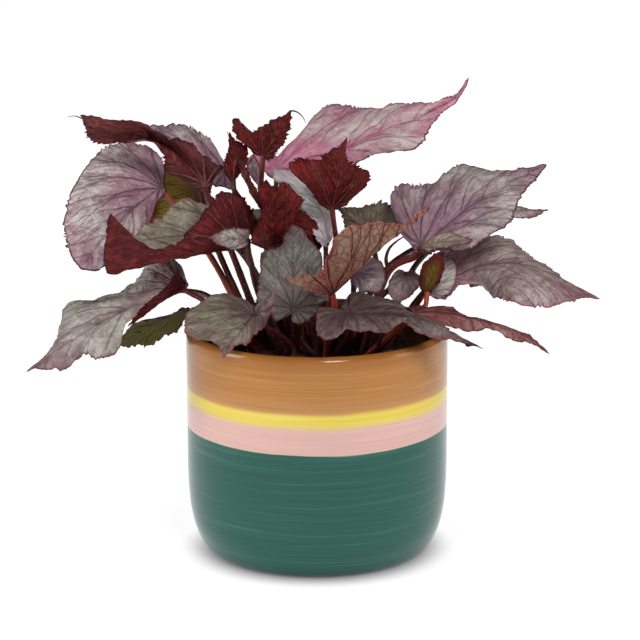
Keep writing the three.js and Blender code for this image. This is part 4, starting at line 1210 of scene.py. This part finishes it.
def glaze_finish(settings):
    """Hand-painted bands under a glossy glaze: brush streaks run round the pot, and the inner wall is painted
    dark brown as shade.
    """
    material, t, surface, place = new_material("painted_glaze")
    x, y, z = t.split(place)
    angle = t.math("ARCTAN2", y, x)
    sine, cosine = t.math("SINE", angle), t.math("COSINE", angle)

    def round_the_pot(radius, rise):
        """Coordinates that run in a circle, so that a pattern has no seam."""
        return t.xyz(t.multiply(cosine, radius), t.multiply(sine, radius), t.multiply(z, rise))

    def painted(colour, thin, thick):
        """A colour with streaks where its glaze lies thick and thin."""
        shaded = t.mix(t.step(strokes, 0.5, 0.36, 0.0, 0.55), (*colour, 1), thick)
        return t.mix(t.step(strokes, 0.51, 0.66, 0.0, 0.5), shaded, thin)

    def band(edge, soft, below, above):
        """Two colours that meet at a height."""
        return t.mix(t.step(level, edge - soft, edge + soft), below, above)

    brush = t.noise(round_the_pot(0.75, 540.0), 1.0, 4.0, 0.55)
    fine = t.noise(round_the_pot(1.1, 1300.0), 1.0, 3.0, 0.6)
    sway = t.noise(round_the_pot(1.0, 12.0), 1.4, 2.0)
    strokes = t.weighted((brush, 0.5), (fine, 0.5))
    wobble = t.multiply(t.subtract(sway, 0.5), 0.003)
    ragged = t.multiply(t.subtract(fine, 0.5), 0.0012)
    level = t.add(z, t.add(wobble, ragged))

    green = painted(settings.green, linear(60, 112, 98), linear(24, 70, 62))
    pink = painted(settings.pink, linear(224, 188, 180), linear(202, 156, 148))
    yellow = painted(settings.yellow, linear(232, 214, 120), linear(208, 176, 58))
    ochre = painted(settings.ochre, linear(190, 142, 86), linear(140, 92, 42))
    low_ochre = t.step(z, settings.yellow_top + 0.012, settings.yellow_top, 0.0, 0.45)
    ochre = t.mix(low_ochre, ochre, linear(190, 140, 92))
    pooled = t.step(z, POT_HEIGHT * MM - 0.011, POT_HEIGHT * MM - 0.004, 0.0, 0.6)
    ochre = t.mix(pooled, ochre, linear(146, 88, 36))
    colour = band(settings.green_top, 0.0003, green, pink)
    off_line = t.math("ABSOLUTE", t.subtract(level, settings.green_top))
    colour = t.mix(t.step(off_line, 0.0007, 0.0001, 0.0, 0.5), colour, linear(206, 190, 172))
    colour = band(settings.pink_top, 0.0024, colour, yellow)
    colour = band(settings.yellow_top, 0.0015, colour, ochre)
    # Painted shade: below the lip, the inner wall is coloured dark brown for the shadow in the pot's hollow.
    inside = t.multiply(t.step(t.vector("LENGTH", t.xyz(x, y)), 0.0712, 0.0700), t.step(z, 0.02, 0.03))
    colour = t.mix(inside, colour, t.mix(brush, linear(72, 42, 24), linear(92, 56, 32)))
    t.fill(surface, {
        "Base Color": colour, "Roughness": t.step(brush, 0.25, 0.75, 0.14, 0.22),
        "Specular IOR Level": 0.33, "Normal": t.bump(strokes, 0.12, 0.0006),
    })
    return material


def floor_finish():
    """Pale paper that glows evenly white, except beside the pot, where the glow fades into a painted shadow.
    """
    material, t, surface, place = new_material("pale_floor")
    away = t.vector("LENGTH", place)
    # The glow is low at the pot's foot and rises outwards: a painted contact shadow round the pot.
    glow = t.add(t.step(away, 0.053, 0.081, 0.03, 0.93), t.step(away, 0.07, 0.2, 0.0, 0.09))
    t.fill(surface, {
        "Base Color": t.mix(t.noise(place, 3.0, 2.0), (0.12, 0.12, 0.12, 1), (0.14, 0.14, 0.14, 1)),
        "Roughness": 0.8, "Specular IOR Level": 0.05,
        "Emission Color": (1.0, 1.0, 1.0, 1.0), "Emission Strength": glow,
    })
    return material


# ---- geometry node trees ----
def new_group(name, inputs):
    """A geometry node tree with a Geometry input and the given named inputs."""
    group = bpy.data.node_groups.new(name, "GeometryNodeTree")
    group.interface.new_socket("Geometry", in_out="INPUT", socket_type="NodeSocketGeometry")
    group.interface.new_socket("Geometry", in_out="OUTPUT", socket_type="NodeSocketGeometry")
    for label, kind in inputs.items():
        group.interface.new_socket(label, in_out="INPUT", socket_type="NodeSocket" + kind)
    t = Tree(group)
    return group, t, t.node("NodeGroupInput").outputs, t.node("NodeGroupOutput")


def scatter_group(name, shape, upright):
    """Spreads copies of a small shape over the faces of a mesh, each turned and sized at random.
    shape(t, given) adds the shape's nodes. upright copies stand along the face's normal."""
    group, t, given, output = new_group(name, {
        "Density": "Float", "Length": "Float", "Width": "Float", "Least Size": "Float",
        "Tilt": "Float", "Seed": "Int", "Material": "Material",
    })
    seed = given["Seed"]
    spread_inputs = {"Mesh": given["Geometry"], "Density": given["Density"], "Seed": seed}
    spread = t.node("GeometryNodeDistributePointsOnFaces", spread_inputs)
    least_lean = t.vector("MULTIPLY", given["Tilt"], (-1.0, -1.0, -1.0))
    lean_inputs = {0: least_lean, 1: given["Tilt"], "Seed": seed}
    lean = t.node("FunctionNodeRandomValue", lean_inputs, data_type="FLOAT_VECTOR").outputs[0]
    direction = t.vector("ADD", spread.outputs["Normal"], lean) if upright else lean
    turned = t.node("FunctionNodeAlignRotationToVector", {"Vector": direction}, axis="Z")
    size_inputs = {2: given["Least Size"], 3: 1.0, "Seed": seed}
    size = t.node("FunctionNodeRandomValue", size_inputs, data_type="FLOAT").outputs[1]
    copies = t.node("GeometryNodeInstanceOnPoints", {
        "Points": spread.outputs["Points"], "Instance": shape(t, given), "Rotation": turned, "Scale": size,
    })
    real = t.node("GeometryNodeRealizeInstances", {"Geometry": copies})
    finished = t.node("GeometryNodeSetMaterial", {"Geometry": real, "Material": given["Material"]})
    t.fill(output, {0: finished})
    return group


def hair_shape(t, given):
    """A thin three-sided spike that stands on the origin."""
    return t.node("GeometryNodeMeshCone", {
        "Vertices": 3, "Side Segments": 2, "Radius Top": 0.0, "Radius Bottom": given["Width"],
        "Depth": given["Length"],
    }, fill_type="NONE").outputs["Mesh"]


def crumb_shape(t, given):
    """A small lump, wider one way than the others."""
    lump = t.node("GeometryNodeMeshIcoSphere", {"Radius": 1.0, "Subdivisions": 1}).outputs["Mesh"]
    size = t.xyz(given["Width"], given["Length"], t.multiply(given["Width"], 0.7))
    return t.node("GeometryNodeTransform", {"Geometry": lump, "Scale": size}).outputs[0]


def grown(name, base, group, values):
    """What the node tree makes on the base mesh, as a plain mesh object of its own."""
    carrier = placed(name, base)
    modifier = carrier.modifiers.new(group.name, "NODES")
    modifier.node_group = group
    sockets = {s.name: s.identifier for s in group.interface.items_tree if s.in_out == "INPUT"}
    for label, value in values.items():
        modifier[sockets[label]] = value
    graph = bpy.context.evaluated_depsgraph_get()
    mesh = bpy.data.meshes.new_from_object(carrier.evaluated_get(graph), depsgraph=graph)
    carrier.modifiers.clear()
    carrier.data = mesh
    mesh.name = name
    if not len(mesh.polygons):
        raise RuntimeError(f"{name}: the node tree made nothing")
    return carrier


# ---- settings that a user may change ----
def length_property(name, default, description):
    """A size in metres."""
    return FloatProperty(name=name, description=description, default=default, unit="LENGTH")


def colour_property(name, shown, description):
    """A colour whose default is given as it looks on screen."""
    default = linear(*shown)[:3]
    return FloatVectorProperty(name=name, description=description, subtype="COLOR", default=default)


class PotSettings(bpy.types.PropertyGroup):
    green_top: length_property("Green Top", 0.0755, "Height where green meets pink")
    pink_top: length_property("Pink Top", 0.0908, "Height where pink meets yellow")
    yellow_top: length_property("Yellow Top", 0.0985, "Height where yellow meets ochre")
    green: colour_property("Green", (26, 82, 72), "Colour of the lowest band")
    pink: colour_property("Pink", (208, 168, 160), "Colour of the band over the green")
    yellow: colour_property("Yellow", (216, 194, 80), "Colour of the thin band")
    ochre: colour_property("Ochre", (168, 114, 56), "Colour of the band under the lip")
    wobble: length_property("Wobble", 0.00025, "How far the hand-made wall strays from round")


class BladeSettings(bpy.types.PropertyGroup):
    thickness: length_property("Thickness", 0.0006, "Thickness of a blade at its middle")
    tooth_height: FloatProperty(name="Tooth Height", description="Size of the teeth, 1 as photographed",
                                default=1.0, subtype="FACTOR")
    pleat_depth: length_property("Pleat Depth", 0.0011, "Rise of the blade between its veins")


class StalkSettings(bpy.types.PropertyGroup):
    root_radius: length_property("Root Radius", 0.0024, "Radius of a stalk at the rootstock")
    tip_radius: length_property("Tip Radius", 0.0013, "Radius of a stalk at its blade")


class HairSettings(bpy.types.PropertyGroup):
    length: length_property("Length", 0.003, "Length of the longest hair")
    width: length_property("Width", 0.00006, "Radius of a hair at its base")
    density: FloatProperty(name="Density", description="Hairs on a square metre of stalk",
                           default=160000.0)
    margin_density: FloatProperty(name="Margin Density", default=600000.0,
                                  description="Hairs on a square metre of the blades' narrow sides")
    seed: IntProperty(name="Seed", description="Changes where the hairs grow", default=3)


class SoilSettings(bpy.types.PropertyGroup):
    crumb: length_property("Crumb Size", 0.0022, "Radius of the largest crumb")
    density: FloatProperty(name="Crumb Density", description="Crumbs on a square metre of soil",
                           default=90000.0)
    seed: IntProperty(name="Seed", description="Changes where the crumbs lie", default=5)


class BegoniaSettings(bpy.types.PropertyGroup):
    pot: PointerProperty(type=PotSettings)
    blades: PointerProperty(type=BladeSettings)
    stalks: PointerProperty(type=StalkSettings)
    hairs: PointerProperty(type=HairSettings)
    soil: PointerProperty(type=SoilSettings)


# ---- stage ----
FLOOR_REACH = 4.0  # metres from the pot to each side of the floor
LAMP_AIM = (0.0, 0.0, 0.16)
WHITE = (1.0, 1.0, 1.0)


def framed(right, up, back, place):
    """The matrix of a camera or lamp from its axes and its place in metres."""
    columns = np.column_stack([right, up, back, place])
    return Matrix(np.vstack([columns, [0, 0, 0, 1]]).tolist())


def area_light(name, place, size, power, tint=WHITE):
    """A lamp that shines on the middle of the plant."""
    light = bpy.data.lights.new(name, "AREA")
    light.shape = "RECTANGLE"
    light.size, light.size_y = size
    light.energy = power
    light.color = tint
    back = unit(np.array(place) - np.array(LAMP_AIM))
    right = unit(np.cross([0.0, 0.0, 1.0], back))
    placed(name, light).matrix_world = framed(right, np.cross(back, right), back, place)


class BEGONIA_OT_stage(bpy.types.Operator):
    """Camera at the photograph's viewing angle, pale floor and soft studio light"""

    bl_idname = "begonia.stage"
    bl_label = "Build Stage"

    def execute(self, context):
        scene = context.scene
        camera = bpy.data.cameras.new("photo_camera")
        camera.sensor_width = 36.0
        camera.lens = VIEW_FOCAL / (2 * VIEW_MIDDLE) * camera.sensor_width
        scene.camera = placed("photo_camera", camera)
        scene.camera.matrix_world = framed(ACROSS, UPWARD, -FORWARD, EYE * MM)

        corners = np.array([[-1, -1, 0], [1, -1, 0], [1, 1, 0], [-1, 1, 0]]) * FLOOR_REACH
        floor = make_piece("floor", corners / MM, [(0, 1, 2, 3)], [floor_finish()])

        world = bpy.data.worlds.new("pale_room")
        world.use_nodes = True
        t = Tree(world.node_tree)
        _, y, z = t.split(t.node("ShaderNodeTexCoord").outputs["Generated"])
        glow = t.add(t.weighted((y, -0.3), (z, 0.35)), 0.7)
        t.fill(world.node_tree.nodes["Background"], {"Strength": glow})
        scene.world = world
        scene.view_settings.view_transform = "Standard"

        area_light("key_light", (0.4, -1.35, 1.1), (0.45, 0.45), 18.0, (1.0, 0.99, 0.97))
        area_light("left_panel", (-1.5, -0.3, 0.6), (0.5, 1.2), 15.5)
        area_light("right_panel", (1.5, -0.3, 0.6), (0.5, 1.2), 6.0)
        return {"FINISHED"}


# ---- pot and soil ----
POT_SIDES = 160
SOIL_SIDES, SOIL_RINGS = 120, 34
SOIL_DROP = 2.6  # mm from the top of the CAD soil down to the mean surface at the wall
SOIL_CROWN = 1.0  # mm that the middle stands over the surface at the wall
SOIL_TAPER_TOP, SOIL_TAPER = 34.0, 14.0  # mm, height up to which the soil narrows, and by how much
SOIL_MIDDLE_DROP = 1.5  # mm down to the surface's middle point


def ring_points(radius, height, sides):
    """Points on rings round the pot's axis. radius and height have a row for each ring, or are
    single numbers."""
    angles = ring_angles(sides)
    columns = radius * np.cos(angles), radius * np.sin(angles), height
    return np.stack(np.broadcast_arrays(*columns), axis=-1).reshape(-1, 3)


def pot_profile():
    """(radius, height) in mm from the foot's middle round the wall to the middle of the floor."""
    foot_radius, foot_top, wall, floor, lip = 55.0, 62.0, 6.5, 9.0, 3.2
    squareness, fullness = 3.2, 2.3
    inside, taper_top, taper = POT_RADIUS - wall, 34.0, 14.0
    foot = [(r, 0.0) for r in np.linspace(foot_radius / 6, foot_radius - 0.6, 6)]
    heights = foot_top * np.linspace(0, 1, 30)[1:] ** 1.8
    out = (1 - (1 - heights / foot_top) ** squareness) ** (1 / fullness)
    curve = [(foot_radius + (POT_RADIUS - foot_radius) * o, z) for o, z in zip(out, heights)]
    wall_up = [(POT_RADIUS, z) for z in np.linspace(foot_top + 4, POT_HEIGHT - lip - 4, 12)]
    turn = np.linspace(0, math.pi, 15)
    rim = [(POT_RADIUS - lip * (1 - math.cos(a)), POT_HEIGHT - lip + lip * math.sin(a)) for a in turn]
    down = [(inside, z) for z in np.linspace(POT_HEIGHT - lip - 6, taper_top, 8)]
    bottom = [(inside - taper, floor), (inside / 2, floor)]
    return np.array(foot + curve + wall_up + rim + down + bottom)


class BEGONIA_OT_pot(bpy.types.Operator):
    """Round pot with a curved foot, painted bands and a glossy glaze"""

    bl_idname = "begonia.pot"
    bl_label = "Build Pot"

    def execute(self, context):
        settings = context.scene.begonia.pot
        profile = pot_profile()
        radius, height = profile[:, :1], profile[:, 1:]
        angles = ring_angles(POT_SIDES)
        lift = np.clip(height / 20, 0, 1)
        stray = np.sin(2 * angles + 0.7) + 0.6 * np.sin(3 * angles + height / 23) + 0.3 * np.sin(height / 5)
        radius = radius - settings.wobble / MM * lift * (1.9 + stray) / 2
        middles = [[0, 0, 0], [0, 0, profile[-1, 1]]]
        points = np.vstack([ring_points(radius, height, POT_SIDES), middles])
        faces = ring_faces(len(profile), POT_SIDES)
        pot = make_piece("glazed_pot", points, faces, [glaze_finish(settings)], sharp=40.0)
        settle(pot, "glaze", "pot")
        return {"FINISHED"}


class BEGONIA_OT_soil(bpy.types.Operator):
    """Potting soil with loose crumbs on its surface"""

    bl_idname = "begonia.soil"
    bl_label = "Build Soil"

    def execute(self, context):
        settings = context.scene.begonia.soil
        radius, top, bottom = (float(v) / MM for v in (SOIL_HIGH[0], SOIL_HIGH[2], SOIL_LOW[2]))
        spread = np.linspace(1, 0.02, SOIL_RINGS)[:, None] * radius
        surface = ring_points(spread, 0.0, SOIL_SIDES)
        lumps = 1.1 * bumps(surface, 9.0, 7) + 0.7 * bumps(surface, 2.6, 8) + 0.3 * bumps(surface, 1.1, 9)
        edge = np.clip((radius - np.hypot(surface[:, 0], surface[:, 1])) / 5, 0, 1)
        surface[:, 2] = top - SOIL_DROP + SOIL_CROWN * edge + lumps * (0.4 + 0.6 * edge)
        low = ring_points(radius - SOIL_TAPER, bottom, SOIL_SIDES)
        wall = ring_points(radius, SOIL_TAPER_TOP, SOIL_SIDES)
        points = np.vstack([low, wall, surface, [[0, 0, bottom], [0, 0, top - SOIL_MIDDLE_DROP]]])
        faces = ring_faces(SOIL_RINGS + 2, SOIL_SIDES)
        earth = soil_finish("potting_soil", linear(22, 15, 11), linear(58, 42, 32))
        settle(make_piece("soil_bed", points, faces, [earth]), "soil", "soil")

        upward = [face for face in faces if min(face) >= 2 * SOIL_SIDES]
        ground = bpy.data.meshes.new("crumb_ground")
        ground.from_pydata((points * MM).tolist(), [], upward)
        group = scatter_group("Soil Crumbs", crumb_shape, upright=False)
        crumbs = grown("soil_crumbs", ground, group, {
            "Density": settings.density, "Length": settings.crumb, "Width": settings.crumb * 0.6,
            "Least Size": 0.2, "Tilt": 1.0, "Seed": settings.seed,
            "Material": soil_finish("crumbs", linear(34, 23, 17), linear(88, 62, 44)),
        })
        settle(crumbs, "soil")
        return {"FINISHED"}


# ---- the plant ----
class BEGONIA_OT_rootstock(bpy.types.Operator):
    """Lumpy rootstock that creeps over the soil"""

    bl_idname = "begonia.rootstock"
    bl_label = "Build Rootstock"

    def execute(self, context):
        points, faces, _ = joined(rootstock_parts())
        rootstock = make_piece("rootstock", points, faces, [rootstock_finish()])
        settle(rootstock, "stalk", "rootstock_and_stalks")
        return {"FINISHED"}


class BEGONIA_OT_stalks(bpy.types.Operator):
    """A fleshy stalk to each blade, and the hairs on them"""

    bl_idname = "begonia.stalks"
    bl_label = "Build Stalks"

    def execute(self, context):
        settings = context.scene.begonia
        tones = {
            "red": stalk_finish("stalk_red", linear(64, 15, 18), linear(112, 34, 32)),
            "dark": stalk_finish("stalk_dark", linear(34, 8, 10), linear(74, 20, 22)),
            "orange": stalk_finish("stalk_orange", linear(116, 34, 26), linear(168, 70, 50)),
        }
        stalks = []
        for order, (name, spec) in enumerate(all_blades().items()):
            stalks.append(make_stalk(name, spec, order, settings.stalks, tones))
            settle(stalks[-1], "stalk", "rootstock_and_stalks")
        points, faces, values = joined(young_stalk_parts(np.random.default_rng(11)))
        stalks.append(make_piece("young_stalks", points, faces, [tones["dark"]], maps={"flat": values}))
        settle(stalks[-1], "stalk")
        for name, (marks, radius) in THREADS.items():
            settle(make_thread(name, marks, radius, tones["dark"]), "stalk")

        skin = skin_of("stalk_skin", [(stalk, len(stalk.data.polygons)) for stalk in stalks])
        group = scatter_group("Stalk Hairs", hair_shape, upright=True)
        hairs = grown("stalk_hairs", skin, group, {
            "Density": settings.hairs.density, "Length": settings.hairs.length,
            "Width": settings.hairs.width, "Least Size": 0.35, "Tilt": 0.7,
            "Seed": settings.hairs.seed, "Material": hair_finish("stalk_hairs"),
        })
        settle(hairs, "stalk")
        return {"FINISHED"}


class BEGONIA_OT_blades(bpy.types.Operator):
    """Every leaf blade, with pleats, waved and toothed edges, and its two faces' finishes"""

    bl_idname = "begonia.blades"
    bl_label = "Build Blades"

    def execute(self, context):
        settings = context.scene.begonia.blades
        finishes = blade_finishes()
        slots = dict.fromkeys(("red", "wine", "claret", "blush"), "blade_red")
        slots.update(dict.fromkeys(("olive", "tan", "moss", "fresh"), "blade_olive"))
        large = all_blades()
        margins = []
        for order, (name, spec) in enumerate({**large, **SMALL_BLADES}.items()):
            blade, side_count = make_blade(name, spec, order, settings, finishes)
            nodes = ["leaf_" + name] if name in large else []
            settle(blade, slots.get(spec["finish"], "blade_silver"), *nodes)
            margins.append((blade, side_count))

        hairs = context.scene.begonia.hairs
        group = scatter_group("Margin Hairs", hair_shape, upright=True)
        fringe = grown("margin_hairs", skin_of("margin_strips", margins), group, {
            "Density": hairs.margin_density, "Length": hairs.length * 0.3, "Width": hairs.width * 0.8,
            "Least Size": 0.3, "Tilt": 0.8, "Seed": hairs.seed, "Material": hair_finish("margin_hairs"),
        })
        settle(fringe, "blade_silver")
        return {"FINISHED"}


class BEGONIA_PT_panel(bpy.types.Panel):
    """Lists the plant's pieces and their sizes"""

    bl_idname = "BEGONIA_PT_panel"
    bl_label = "Potted Begonia"
    bl_space_type = "VIEW_3D"
    bl_region_type = "UI"
    bl_category = "Begonia"

    def draw(self, context):
        settings = context.scene.begonia
        for operator, *groups in PIECES:
            self.layout.operator(operator.bl_idname)
            for group in groups:
                values = getattr(settings, group)
                for name in values.__annotations__:
                    self.layout.prop(values, name)


PIECES = (
    (BEGONIA_OT_stage,),
    (BEGONIA_OT_pot, "pot"),
    (BEGONIA_OT_soil, "soil"),
    (BEGONIA_OT_rootstock,),
    (BEGONIA_OT_stalks, "stalks", "hairs"),
    (BEGONIA_OT_blades, "blades"),
)
CLASSES = (
    PotSettings,
    BladeSettings,
    StalkSettings,
    HairSettings,
    SoilSettings,
    BegoniaSettings,
    *(operator for operator, *_ in PIECES),
    BEGONIA_PT_panel,
)


def register():
    for cls in CLASSES:
        bpy.utils.register_class(cls)
    bpy.types.Scene.begonia = PointerProperty(type=BegoniaSettings)


def unregister():
    del bpy.types.Scene.begonia
    for cls in reversed(CLASSES):
        bpy.utils.unregister_class(cls)


def main():
    register()
    bpy.ops.begonia.stage()
    bpy.ops.begonia.pot()
    bpy.ops.begonia.soil()
    bpy.ops.begonia.rootstock()
    bpy.ops.begonia.stalks()
    bpy.ops.begonia.blades()


if __name__ == "__main__":
    main()
